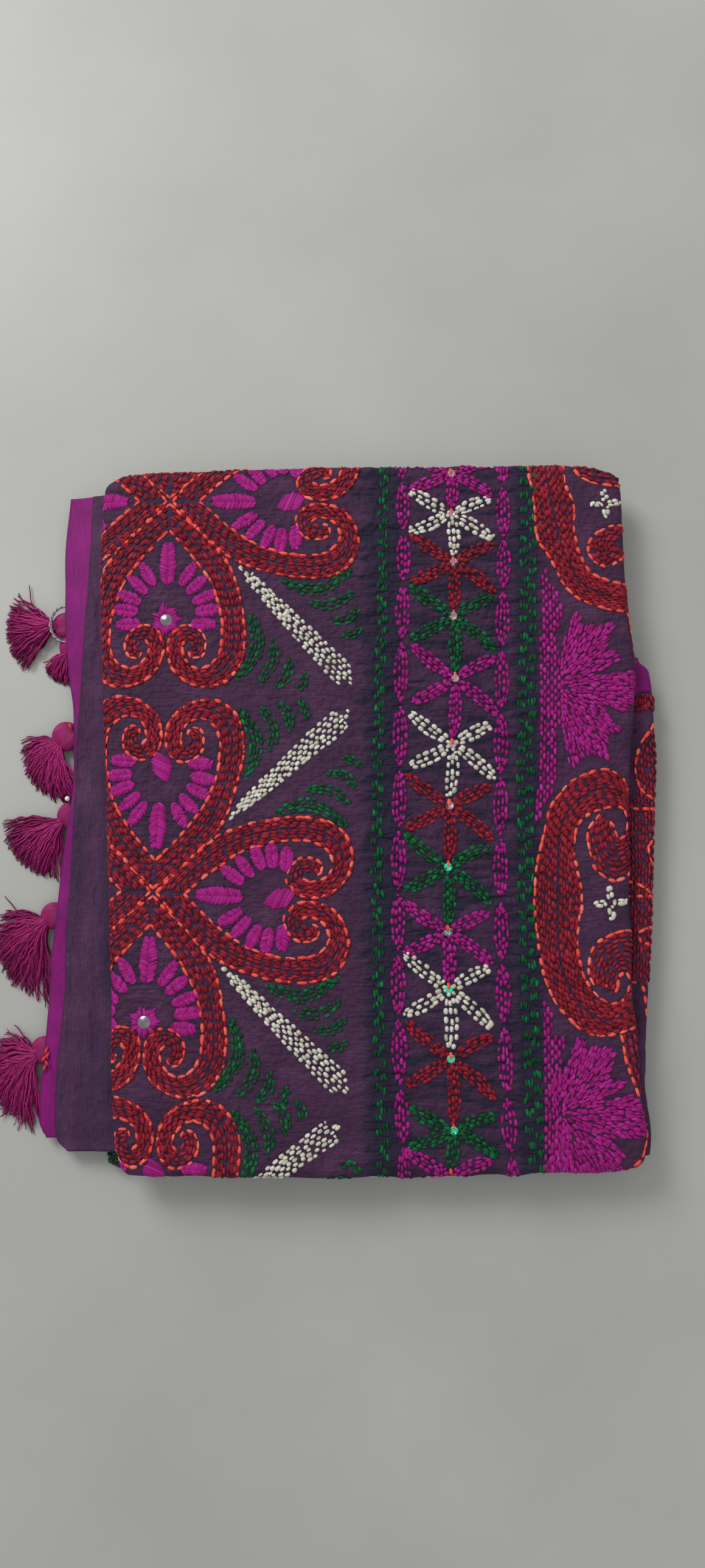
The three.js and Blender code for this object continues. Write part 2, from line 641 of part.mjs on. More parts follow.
export default saree;
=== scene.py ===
"""A folded saree laid flat, with a kantha-stitched pallu on top, its hem, end border and tassels.

Sizes are millimetres in the pattern's own frame, whose origin is under the middle of the top run,
and every mesh is moved by PLACE and turned to metres as it is made.
"""

import logging
import math
from collections.abc import Callable
from dataclasses import dataclass, field
from enum import Enum

import bpy
import numpy as np
from mathutils import Matrix, Vector


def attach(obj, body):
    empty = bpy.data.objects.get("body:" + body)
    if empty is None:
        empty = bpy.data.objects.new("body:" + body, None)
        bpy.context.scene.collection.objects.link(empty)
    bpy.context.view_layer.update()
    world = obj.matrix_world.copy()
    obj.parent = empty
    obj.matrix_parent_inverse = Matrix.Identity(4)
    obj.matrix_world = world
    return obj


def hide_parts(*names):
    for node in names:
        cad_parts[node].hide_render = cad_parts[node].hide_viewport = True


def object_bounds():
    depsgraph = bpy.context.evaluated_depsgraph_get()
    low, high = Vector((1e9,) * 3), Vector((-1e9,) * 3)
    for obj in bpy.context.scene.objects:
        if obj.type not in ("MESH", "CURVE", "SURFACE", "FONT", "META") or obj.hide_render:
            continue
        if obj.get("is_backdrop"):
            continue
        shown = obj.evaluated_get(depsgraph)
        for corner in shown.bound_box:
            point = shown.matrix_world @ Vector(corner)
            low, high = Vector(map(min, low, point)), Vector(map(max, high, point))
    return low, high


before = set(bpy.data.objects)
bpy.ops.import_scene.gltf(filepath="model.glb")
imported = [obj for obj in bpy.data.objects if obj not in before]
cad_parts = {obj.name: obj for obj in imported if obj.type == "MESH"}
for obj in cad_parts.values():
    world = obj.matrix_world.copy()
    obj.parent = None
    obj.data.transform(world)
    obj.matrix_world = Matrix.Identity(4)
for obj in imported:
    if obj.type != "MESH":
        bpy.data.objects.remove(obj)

CAD_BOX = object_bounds()
PLACE = np.array([34.875, -4.998, 0.0])  # mm from the pattern's frame to the part's
MM = 0.001
SEED = 20
TAU = 2 * math.pi

log = logging.getLogger("saree")
Array = np.ndarray
Tree = bpy.types.NodeTree
Piece = bpy.types.Object
Lay = Callable[[Array, Array, Array], Array]  # puts x, y and a lift of a flat cloth on the folded one


# ---- numbers and fields --------------------------------------------------------------------


class Curve:
    """One smooth curve through rows of (place, value), level past its ends."""

    def __init__(self, rows: list[tuple[float, float]]) -> None:
        """Takes the rows and works out a slope at each from its neighbours."""
        self.x, self.y = np.array(rows, float).T
        n = np.arange(len(self.x))
        before, after = np.maximum(n - 1, 0), np.minimum(n + 1, len(n) - 1)
        self.slope = (self.y[after] - self.y[before]) / (self.x[after] - self.x[before])

    def __call__(self, place: Array | float) -> Array:
        """Reads the curve: a Hermite step between two rows, bowed by the rows' slopes.

        Args:
            place: where to read it.

        Returns:
            The values, one for each place.
        """
        p = np.clip(place, self.x[0], self.x[-1])
        i = np.clip(np.searchsorted(self.x, p, side="right") - 1, 0, len(self.x) - 2)
        span = self.x[i + 1] - self.x[i]
        t = (p - self.x[i]) / span
        rise = t * t * (3 - 2 * t)
        bow = t * (1 - t) * span * (self.slope[i] * (1 - t) - self.slope[i + 1] * t)
        return self.y[i] + (self.y[i + 1] - self.y[i]) * rise + bow


def curve(*rows: tuple[float, float]) -> Curve:
    """A dataclass field that holds one curve."""
    return field(default_factory=lambda: Curve(list(rows)))


def mix(a: Array | float, b: Array | float, t: Array | float) -> Array | float:
    """a where t is 0, b where it is 1."""
    return a + (b - a) * t


def smooth(t: Array) -> Array:
    """An even step from 0 to 1, level at both ends."""
    t = np.clip(t, 0, 1)
    return t * t * (3 - 2 * t)


def noise(x: Array, y: Array, seed: int) -> Array:
    """Value noise from -1 to 1 with a cell of 1: random heights on a lattice, eased between.

    Args:
        x, y: places, already divided by the cell's size.
        seed: picks the lattice.

    Returns:
        The noise at each place.
    """
    lattice = np.random.default_rng(SEED + seed).uniform(-1, 1, (64, 64))
    i, j = np.floor(x).astype(int), np.floor(y).astype(int)
    u, v = smooth(x - i), smooth(y - j)
    at = lambda a, b: lattice[a % 64, b % 64]
    return mix(mix(at(i, j), at(i + 1, j), u), mix(at(i, j + 1), at(i + 1, j + 1), u), v)


# ---- meshes --------------------------------------------------------------------------------


def mesh_object(name: str, points: Array, faces: Array, uv: Array | None = None,
                tone: Array | None = None) -> Piece:
    """Makes a piece from arrays, smooth shaded, its faces turned outward.

    Args:
        name: the piece's name.
        points: (n, 3) in millimetres.
        faces: (m, 3) or (m, 4) numbers of points, all one way round.
        uv: (n, 2) in millimetres over the cloth or thread.
        tone: (n,) from 0 to 1, a tone of its own for each thread or ply, with painted shade on the cloths and
            painted shade and light on the tassels' threads.

    Returns:
        The object, linked to the scene.
    """
    a, b, c = points[faces[:, 0]], points[faces[:, 1]], points[faces[:, 2]]
    volume = (a * np.cross(b, c)).sum()
    if faces.shape[1] == 4:
        volume += (a * np.cross(c, points[faces[:, 3]])).sum()
    faces = np.ascontiguousarray(faces if volume >= 0 else faces[:, ::-1], np.int32)
    mesh = bpy.data.meshes.new(name)
    mesh.vertices.add(len(points))
    mesh.vertices.foreach_set("co", ((points + PLACE) * MM).astype(np.float32).ravel())
    mesh.loops.add(faces.size)
    mesh.loops.foreach_set("vertex_index", faces.ravel())
    mesh.polygons.add(len(faces))
    mesh.polygons.foreach_set("loop_start", np.arange(0, faces.size, faces.shape[1], dtype=np.int32))
    mesh.polygons.foreach_set("use_smooth", np.ones(len(faces), bool))
    if uv is not None:
        layer = mesh.uv_layers.new(name="cloth")
        layer.data.foreach_set("uv", (uv[faces.ravel()] * MM).astype(np.float32).ravel())
    if tone is not None:
        shade = mesh.attributes.new("tone", "FLOAT", "POINT")
        shade.data.foreach_set("value", tone.astype(np.float32))
    mesh.update(calc_edges=True)
    mesh.validate()
    piece = bpy.data.objects.new(name, mesh)
    bpy.context.scene.collection.objects.link(piece)
    return piece


def grid_faces(rows: int, columns: int, start: int = 0, closed: bool = False) -> Array:
    """Quads between neighbouring points of a grid, whose rows may close on themselves."""
    r, c = np.meshgrid(np.arange(rows - 1), np.arange(columns if closed else columns - 1), indexing="ij")
    d = (c + 1) % columns
    corners = [r * columns + c, r * columns + d, (r + 1) * columns + d, (r + 1) * columns + c]
    return start + np.stack([k.ravel() for k in corners], 1)


def split(quads: Array) -> Array:
    """Each quad as two triangles."""
    return np.concatenate([quads[:, [0, 1, 2]], quads[:, [0, 2, 3]]])


def copies(faces: Array, many: int, each: int) -> Array:
    """The faces of one small form of so many points, repeated for many of them."""
    return (faces[None] + (np.arange(many) * each)[:, None, None]).reshape(-1, 3)


def joined(parts: list[tuple[Array, Array]]) -> tuple[Array, Array]:
    """Several meshes as one."""
    shift = np.cumsum([0] + [len(p) for p, _ in parts[:-1]])
    return np.concatenate([p for p, _ in parts]), np.concatenate([f + s for (_, f), s in zip(parts, shift)])


def closed_rings(rings: Array, poles: Array) -> tuple[Array, Array]:
    """A closed form: rings skinned one to the next, and each end drawn in to its pole.

    Args:
        rings: (rows, around, 3) points.
        poles: (2, 3) points, before the first ring and past the last.

    Returns:
        The points and the triangles.
    """
    rows, around, _ = rings.shape
    k = np.arange(around)
    j, last, pole = (k + 1) % around, (rows - 1) * around, np.full(around, rows * around)
    caps = [np.stack([j, k, pole], 1), np.stack([k + last, j + last, pole + 1], 1)]
    faces = np.concatenate([split(grid_faces(rows, around, closed=True))] + caps)
    return np.concatenate([rings.reshape(-1, 3), poles]), faces


def shell(outer: Array, inner: Array) -> tuple[Array, Array]:
    """A closed wall from two grids of points, joined round the rim.

    Args:
        outer, inner: (rows, columns, 3) points of the two faces.

    Returns:
        The points and the quads.
    """
    rows, columns, _ = outer.shape
    number = np.arange(rows * columns).reshape(rows, columns)
    rim = np.concatenate([number[0, :-1], number[:-1, -1], number[-1, :0:-1], number[:0:-1, 0]])
    ahead = np.roll(rim, -1)
    count = rows * columns
    sides = np.stack([ahead, rim, rim + count, ahead + count], 1)
    faces = [grid_faces(rows, columns), grid_faces(rows, columns, count)[:, ::-1], sides]
    return np.concatenate([outer.reshape(-1, 3), inner.reshape(-1, 3)]), np.concatenate(faces)


# ---- finishes ------------------------------------------------------------------------------


WAVE = 3.1 / TAU  # a wave texture has 3.2 straight bands to a unit at scale 1, so 1.6 at this one


def linear(colour: str) -> tuple[float, float, float, float]:
    """An sRGB hex value as linear light."""
    parts = [int(colour[i : i + 2], 16) / 255 for i in (1, 3, 5)]
    return (*[p / 12.92 if p <= 0.04045 else ((p + 0.055) / 1.055) ** 2.4 for p in parts], 1.0)


def node(tree: Tree, kind: str, links: dict | None = None, **settings: object) -> bpy.types.Node:
    """Adds a node.

    Args:
        tree: the material's node tree.
        kind: the node's type, without "ShaderNode".
        links: input name or number to the socket that feeds it, or to its plain value.
        settings: the node's own properties.

    Returns:
        The node.
    """
    made = tree.nodes.new("ShaderNode" + kind)
    for key, value in settings.items():
        setattr(made, key, value)
    for key, value in (links or {}).items():
        if isinstance(value, bpy.types.NodeSocket):
            tree.links.new(value, made.inputs[key])
        else:
            made.inputs[key].default_value = value
    return made


def new_material(name: str) -> tuple[bpy.types.Material, Tree]:
    """An empty node material."""
    material = bpy.data.materials.new(name)
    material.use_nodes = True
    material.node_tree.nodes.clear()
    return material, material.node_tree


def shades(tree: Tree, by: bpy.types.NodeSocket, deep: str, light: str, middle: str = "",
           ends: tuple[float, float] = (0.1, 0.9)) -> bpy.types.NodeSocket:
    """A ramp of dyes.

    Args:
        tree: the material's node tree.
        by: the value that picks the shade.
        deep, light, middle: the ramp's hex colours, the last of them half way, if at all.
        ends: the values of the deep and the light one.

    Returns:
        The colour.
    """
    ramp = node(tree, "ValToRGB", {"Fac": by})
    stops = ramp.color_ramp.elements
    for stop, place, colour in zip(stops, ends, (deep, light)):
        stop.position, stop.color = place, linear(colour)
    if middle:
        stops.new(0.5).color = linear(middle)
    return ramp.outputs[0]


def surface(tree: Tree, **inputs: object) -> None:
    """The shader and the output; an underscore in an input's name stands for a space."""
    shader = node(tree, "BsdfPrincipled", {key.replace("_", " "): value for key, value in inputs.items()})
    node(tree, "OutputMaterial", {"Surface": shader.outputs[0]})


@dataclass(frozen=True)
class WovenCloth:
    """Fine handloom cotton silk: two plies of it are quilted together in the pallu.

    Its slubs run along the weft, its colour clouds a little with the dye, and it has the low
    soft sheen of silk over a matt ground. The piece's tone mixes in a darker colour: mostly painted
    shade where the cloth puckers, creases and folds, and on the hidden plies a tone that differs
    from ply to ply.
    """

    name: str
    colour: str
    deep: str
    light: str
    roughness: float = 0.72
    sheen: float = 0.25
    thread: float = 0.9  # mm, over 1.6 bands; a real thread is 0.25 mm and wouldn't show
    slub: float = 11.0  # mm, length of a thick place in the weft
    relief: float = 0.25  # mm
    twill: bool = False
    # the darker colour that the tone mixes in: painted shade, and on the hidden plies a deeper tone that
    # differs from ply to ply
    shade_and_deep_tone: str = "#251e34"
    pucker: float = 0.0  # mm, of the small wrinkles between the stitches

    def make(self) -> bpy.types.Material:
        """Colour clouds and slubs over the ground, and a weave as bump, all on the cloth's own map."""
        material, tree = new_material(self.name)
        place = node(tree, "UVMap", uv_map="cloth").outputs[0]
        scale = (1 / (self.slub * MM), 1 / (1.1 * MM), 1)
        turn = math.radians(45) if self.twill else 0.0
        fine = node(tree, "Mapping", {"Vector": place, "Rotation": (0, 0, turn), "Scale": scale}).outputs[0]
        thick = {"Vector": fine, "Scale": 1.0, "Detail": 3.0, "Roughness": 0.6}
        slubs = node(tree, "TexNoise", thick).outputs[0]
        clouds = node(tree, "TexNoise", {"Vector": place, "Scale": 38.0, "Detail": 4.0}).outputs[0]
        both = node(tree, "Math", {0: slubs, 1: clouds}, operation="ADD").outputs[0]
        mean = node(tree, "Math", {0: both, 1: 0.5}, operation="MULTIPLY").outputs[0]
        dyed = shades(tree, mean, self.deep, self.light, self.colour, ends=(0.34, 0.66))
        wave = {"Vector": place, "Scale": WAVE / (self.thread * MM), "Distortion": 0.6, "Detail": 1.0}
        warp, weft = [node(tree, "TexWave", wave, bands_direction=way).outputs[1] for way in "XY"]
        weave = node(tree, "Math", {0: warp, 1: weft}, operation="MAXIMUM").outputs[0]
        rise = node(tree, "Math", {0: weave, 1: slubs}, operation="ADD").outputs[0]
        bump = node(tree, "Bump", {"Height": rise, "Strength": 0.35, "Distance": self.relief * MM}).outputs[0]
        tone = node(tree, "Attribute", attribute_name="tone").outputs["Fac"]
        # painted shade: the tone mixes the darker colour into the ground
        ground = node(tree, "MixRGB", {0: tone, 1: dyed, 2: linear(self.shade_and_deep_tone)}).outputs[0]
        if self.pucker:
            long = (1 / (14 * MM), 1 / (3.4 * MM), 1)
            flat = node(tree, "Mapping", {"Vector": place, "Scale": long}).outputs[0]
            lines = node(tree, "TexNoise", {"Vector": flat, "Scale": 1.0, "Detail": 2.0}).outputs[0]
            puff = {"Vector": place, "Scale": 1 / (4.2 * MM), "Detail": 1.5}
            puffs = node(tree, "TexNoise", puff).outputs[0]
            deep = node(tree, "Math", {0: tone, 1: 0.9, 2: 0.5}, operation="MULTIPLY_ADD").outputs[0]
            wrinkle = node(tree, "Math", {0: lines, 1: deep, 2: puffs}, operation="MULTIPLY_ADD").outputs[0]
            bump = node(tree, "Bump", {"Height": wrinkle, "Strength": 0.9, "Distance": self.pucker * MM,
                                       "Normal": bump}).outputs[0]
        surface(tree, Base_Color=ground, Roughness=self.roughness, Normal=bump, Sheen_Weight=self.sheen,
                Sheen_Roughness=0.45, Sheen_Tint=linear(self.light), Specular_IOR_Level=0.22, IOR=1.5)
        return material


@dataclass(frozen=True)
class Floss:
    """Stranded embroidery thread: loosely twisted, so each stitch has slanting strands.

    Each stitch has its own tone, as floss does where it wears or catches the light.
    """

    name: str
    colour: str
    deep: str
    light: str
    roughness: float = 0.6
    sheen: float = 0.15
    strand: float = 0.6  # mm across, over 0.8 of a slanting band; a real ply is finer and wouldn't show

    def make(self) -> bpy.types.Material:
        """The stitch's tone picks between three shades; its strands, slightly slanted along it, are bump."""
        material, tree = new_material(self.name)
        place = node(tree, "UVMap", uv_map="cloth").outputs[0]
        tone = node(tree, "Attribute", attribute_name="tone").outputs["Fac"]
        fluff = node(tree, "TexNoise", {"Vector": place, "Scale": 900.0, "Detail": 2.0}).outputs[0]
        both = node(tree, "Math", {0: fluff, 1: 0.35, 2: tone}, operation="MULTIPLY_ADD").outputs[0]
        mean = node(tree, "Math", {0: both, 1: 0.75}, operation="MULTIPLY").outputs[0]
        dyed = shades(tree, mean, self.deep, self.light, self.colour)
        lay = node(tree, "Mapping", {"Vector": place, "Scale": (0.35, 1, 1)}).outputs[0]
        wave = {"Vector": lay, "Scale": WAVE / (self.strand * MM), "Distortion": 0.4}
        twist = node(tree, "TexWave", wave, bands_direction="DIAGONAL").outputs[1]
        bump = node(tree, "Bump", {"Height": twist, "Strength": 0.55, "Distance": 0.35 * MM}).outputs[0]
        surface(tree, Base_Color=dyed, Roughness=self.roughness, Normal=bump, Sheen_Weight=self.sheen,
                Sheen_Roughness=0.4, Sheen_Tint=linear(self.light), Specular_IOR_Level=0.25)
        return material


PLUM_SILK = WovenCloth("plum cotton silk", "#432542", "#341d37", "#553453", sheen=0.1, pucker=2.6)
PLUM_PLIES = WovenCloth("plum cotton silk, cut edges", "#3c2b42", "#2c2032", "#4d3853", roughness=0.85)
PLUM_HEM = WovenCloth("plum cotton silk, folded hem", "#4a2a4a", "#38203c", "#5a3658", sheen=0.1, thread=1.0,
                      pucker=1.3)
MAGENTA_SILK = WovenCloth("magenta silk, plain border", "#7e076a", "#66065a", "#900d7a", roughness=0.6,
                          sheen=0.02, twill=True, shade_and_deep_tone="#4c0d40")


# ---- the packet's form ---------------------------------------------------------------------


@dataclass
class Packet:
    """The form of the folded packet: where its edges run, and how high its top is."""

    top: float = 31.0
    fold_radius: float = 5.2
    fold_turn: float = math.radians(160)
    cloth: float = 1.4
    edge_drop: float = 1.6
    half_x: float = 178.0
    half_y: float = 237.0
    mid_y: float = 5.0
    waves: tuple = ((0.5, 396.0, 510.0, 1.3), (0.35, 232.0, -346.0, 0.2))
    span: tuple[float, float] = (-220.0, 242.0)
    left: Curve = curve(
        (-232, -166), (-212, -169.5), (-180, -172), (-134, -173.5), (-75, -174.5), (-20, -175.5),
        (35, -177.5), (65, -179), (95, -180), (106, -180.3), (140, -181), (195, -181.5), (228, -180),
        (242, -176))
    right: Curve = curve(
        (-232, 166), (-212, 169), (-180, 166.5), (-134, 165.5), (-75, 166), (-20, 168), (35, 172),
        (65, 175.5), (95, 179), (106, 178), (140, 175), (195, 175), (228, 174), (242, 168))
    below: Curve = curve(
        (-232, 160), (-212, 166), (-180, 173), (-134, 177), (-75, 183), (-20, 187.5), (35, 192),
        (65, 192.5), (95, 191), (106, 184), (140, 174), (195, 172), (228, 170), (242, 165))
    bottom: Curve = curve(
        (-182, -220), (-165, -227.5), (-106, -229.5), (-74, -230.5), (0, -232), (90, -231.5), (150, -231),
        (168, -228), (180, -224))
    upper: Curve = curve(
        (-182, 231), (-165, 239.5), (-106, 241), (-74, 242), (0, 241.5), (90, 239), (150, 237), (168, 232),
        (180, 224))

    def height(self, x: Array, y: Array) -> Array:
        """The top's height: full in the middle, less towards the edges, with two slow waves."""
        fall = np.abs(x / self.half_x) ** 4 + np.abs((y - self.mid_y) / self.half_y) ** 4
        waves = sum(h * np.sin(TAU * x / lx + s) * np.cos(TAU * y / ly) for h, lx, ly, s in self.waves)
        return self.top - self.edge_drop * fall + waves

    def level(self, z: Array, x: Array, y: Array) -> Array:
        """A height inside the packet, scaled by the packet's own."""
        return z * self.height(x, y) / self.top

    def plan(self, u: Array, v: Array, reach: float) -> tuple[Array, Array]:
        """A place in the packet.

        Args:
            u, v: from -1 to 1 between the side edges and between the bottom and top edges.
            reach: how far every edge is moved out.

        Returns:
            x and y.
        """
        across = mix(*self.span, (v + 1) / 2)
        x = mix(self.left(across) - reach, self.right(across) + reach, (u + 1) / 2)
        return x, mix(self.bottom(x) - reach, self.upper(x) + reach, (v + 1) / 2)

    def lay(self, x: Array, y: Array, lift: Array | float) -> Array:
        """Lays a place of the flat pattern on the top run and on over its folds.

        Past a fold's line the way on is an arc of the fold's radius, up to the turn it has.

        Args:
            x, y: place in the flat pattern.
            lift: height above the cloth's face.

        Returns:
            (..., 3) points.
        """
        r = self.fold_radius
        fx = np.clip(x, self.left(y) + r, self.right(y) - r)
        fy = np.clip(y, self.bottom(fx) + r, self.upper(fx) - r)
        dx, dy = x - fx, y - fy
        past = np.hypot(dx, dy)
        turn = np.minimum(past / r, self.fold_turn)
        safe = np.maximum(past, 1e-9)
        out = (r + lift) * np.sin(turn) / safe
        z = self.height(fx, fy) - r + (r + lift) * np.cos(turn)
        return np.stack([fx + dx * out, fy + dy * out, z], -1)


# ---- cloths --------------------------------------------------------------------------------


def dress(piece: Piece, material: bpy.types.Material, replaces: str = "") -> Piece:
    """Gives a piece its material, its body and the CAD node that it stands for."""
    piece.data.materials.append(material)
    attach(piece, "root")
    if replaces:
        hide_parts(replaces)
    return piece


@dataclass
class TopRun:
    """The stitched pallu on top: one wall, rounded over its four edges and tucked in below."""

    packet: Packet
    relief: "Relief"
    across: int = 200
    along: int = 240
    tuck: int = 9
    seat: float = 0.35  # mm that the relief is let down, so that the stitches sink in a little
    flat: tuple[float, float] = (0.367, 0.491)

    def lay(self, x: Array, y: Array, lift: Array | float = 0.0) -> Array:
        """Lays places of the flat pattern on the cloth's own face, at a lift above it."""
        return self.packet.lay(x, y, self.relief(x, y) - self.seat + lift)

    def shows(self, x: Array, y: Array) -> Array:
        """Which places are on the top or on the part of a fold that shows."""
        p = self.packet
        dx = x - np.clip(x, p.left(y) + p.fold_radius, p.right(y) - p.fold_radius)
        dy = y - np.clip(y, p.bottom(x) + p.fold_radius, p.upper(x) - p.fold_radius)
        return np.hypot(dx, dy) < p.fold_radius * (p.fold_turn - 0.35)

    def faces_up(self, x: float, y: float) -> bool:
        """Whether a place is on the top itself."""
        p = self.packet
        return bool(p.left(y) - 3 < x < p.right(y) and p.bottom(x) < y < p.upper(x))

    def stations(self, count: int) -> tuple[Array, Array]:
        """Places from -1 to 1 over the flat, with the turn's angles before and after."""
        turn = np.linspace(0, self.packet.fold_turn, self.tuck + 1)[1:]
        flat = np.linspace(-1, 1, count - 2 * self.tuck)
        place = np.concatenate([-np.ones(self.tuck), flat, np.ones(self.tuck)])
        return place, np.concatenate([-turn[::-1], np.zeros(len(flat)), turn])

    def pattern_place(self) -> tuple[Array, Array]:
        """Where each point of the grid lies in the flat pattern: on past the folds by the arc gone."""
        r = self.packet.fold_radius
        u, tx = self.stations(self.across)
        v, ty = self.stations(self.along)
        (u, v), (tx, ty) = np.meshgrid(u, v), np.meshgrid(tx, ty)
        x, y = self.packet.plan(u, v, -r)
        spin = np.maximum(np.hypot(tx, ty), 1e-9)
        far = np.maximum(np.abs(tx), np.abs(ty)) * r / spin
        return x + tx * far, y + ty * far

    def build(self) -> Piece:
        """Makes the wall with its relief, and dresses it."""
        x, y = self.pattern_place()
        points, faces = shell(self.lay(x, y), self.packet.lay(x, y, -self.packet.cloth))
        uv = np.tile(np.stack([x.ravel(), y.ravel()], 1), (2, 1))
        piece = mesh_object("pallu_cloth", points, faces, uv=uv, tone=np.tile(self.dark(x, y).ravel(), 2))
        dress(piece, PLUM_SILK.make(), "pallu_face")
        return piece

    def dark(self, x: Array, y: Array) -> Array:
        """How dark the ground is: painted shade in bands along the green lines, where the cloth puckers,
        and in the troughs of the wrinkles; darker close in to the stitches, partly painted shade and
        partly the marks of the tracing; and a little darker over the stars' column.
        """
        # painted shade in bands along the two green lines, where the cloth puckers
        left = np.exp(-(((x - 6 - y * 0.027) / 12) ** 4))
        right = np.exp(-(((x - 102 - y * 0.03) / 8) ** 4))
        column = smooth((x - 8) / 10) * smooth((104 - x) / 10)
        ways = ((-3, 0), (3, 0), (0, -3), (0, 3), (0, 0))
        around = sum(self.relief.near(x + p, y + q) for p, q in ways) / 4
        # painted shade in the troughs of the wrinkles
        creases = np.maximum(-self.relief.wrinkles(x, y) - 0.1, 0)
        return np.clip(0.92 * (left + right) + 0.75 * around + 0.25 * column + 4.6 * creases, 0, 1)


@dataclass
class TurnedRun:
    """A run of cloth that comes out from under the top run, turns over at its edge and goes back."""

    packet: Packet
    side: int  # 1 where it comes out on the right, -1 on the left
    top: float
    bottom: float
    lip: float  # how far it goes back under
    ends: tuple[float, float]
    root: Callable[[Array], Array]
    edge: Callable[[Array], Array]
    cloth: float = 1.4
    crease: float = 0.35

    @property
    def radius(self) -> float:
        """Outside of the turn."""
        return (self.top - self.bottom) / 2

    def lay(self, x: Array, y: Array, lift: Array | float) -> Array:
        """Lays a place of its flat cloth on it: level as far as the turn, then round, then back."""
        r, way = self.radius, self.side
        centre = self.edge(y) - way * r
        past = np.maximum((x - centre) * way, 0)
        turn = np.minimum(past / r, math.pi)
        back = np.maximum(past - math.pi * r, 0)
        flat = np.where((x - centre) * way > 0, centre, x)
        out = (r + lift) * np.sin(turn) - back
        z = (self.top + self.bottom) / 2 + (r + lift) * np.cos(turn)
        scale = self.packet.height(np.full_like(y, way * self.packet.half_x), y) / self.packet.top
        return np.stack([flat + way * out, np.broadcast_to(y, x.shape), z * scale], -1)

    def build(self, name: str, finish: WovenCloth, slot: str, flat: tuple[float, float]) -> Piece:
        """Makes the wall, with slow creases along and across it, and dresses it.

        Args:
            name, finish: the piece's.
            slot: not used.
            flat: not used; the cut of what shows, in metres.

        Returns:
            The piece.
        """
        columns, rows = 44, int((self.ends[1] - self.ends[0]) / 2.0) + 2
        y = np.linspace(*self.ends, rows)[:, None] + np.zeros(columns)
        near = self.root(y)
        far = self.edge(y) - self.side * self.radius + self.side * (math.pi * self.radius + self.lip)
        x = mix(near, far, np.linspace(0, 1, columns)[None, :])
        wave = self.crease * (noise(x / 7, y / 26, 11) + 0.6 * noise(x / 4, y / 5, 12))
        points, faces = shell(self.lay(x, y, wave - 0.3), self.lay(x, y, wave * 0.3 - self.cloth))
        uv = np.tile(np.stack([x.ravel(), y.ravel()], 1), (2, 1))
        piece = mesh_object(name, points, faces, uv=uv, tone=np.zeros(len(points)))
        dress(piece, finish.make(), name.replace("_cloth", ""))
        return piece


def corner_arc(y: Array, start: float, stop: float, corner: float) -> Array:
    """How much of a round corner's radius is left between two ends: all of it but near them."""
    past = np.maximum(np.maximum(start + corner - y, y - stop + corner), 0)
    return np.sqrt(np.maximum(corner**2 - past**2, 0))


def right_run(packet: Packet, ends: tuple[float, float]) -> TurnedRun:
    """The lower run that stands out on the right, or the border at its end."""
    start, stop, corner = -224.0, 104.5, 9.0
    root = lambda y: packet.right(y) - packet.fold_radius + 1
    out = lambda y: packet.below(y) - (corner - corner_arc(y, start, stop, corner))
    edge = lambda y: np.maximum(out(y), root(y) + 10.7)
    return TurnedRun(packet, 1, 20.4, 9.7, 2.0, ends, root, edge)


def left_return(packet: Packet) -> TurnedRun:
    """The run that shows below the hem at the lower left."""
    start, stop, corner = -226.5, -60.0, 5.0
    root = lambda y: packet.left(y) - 2.5
    edge = lambda y: packet.left(y) - 11.5 + corner - corner_arc(y, start, stop, corner)
    return TurnedRun(packet, -1, 9.1, 4.9, 4.0, (start, stop), root, edge, crease=0.2)


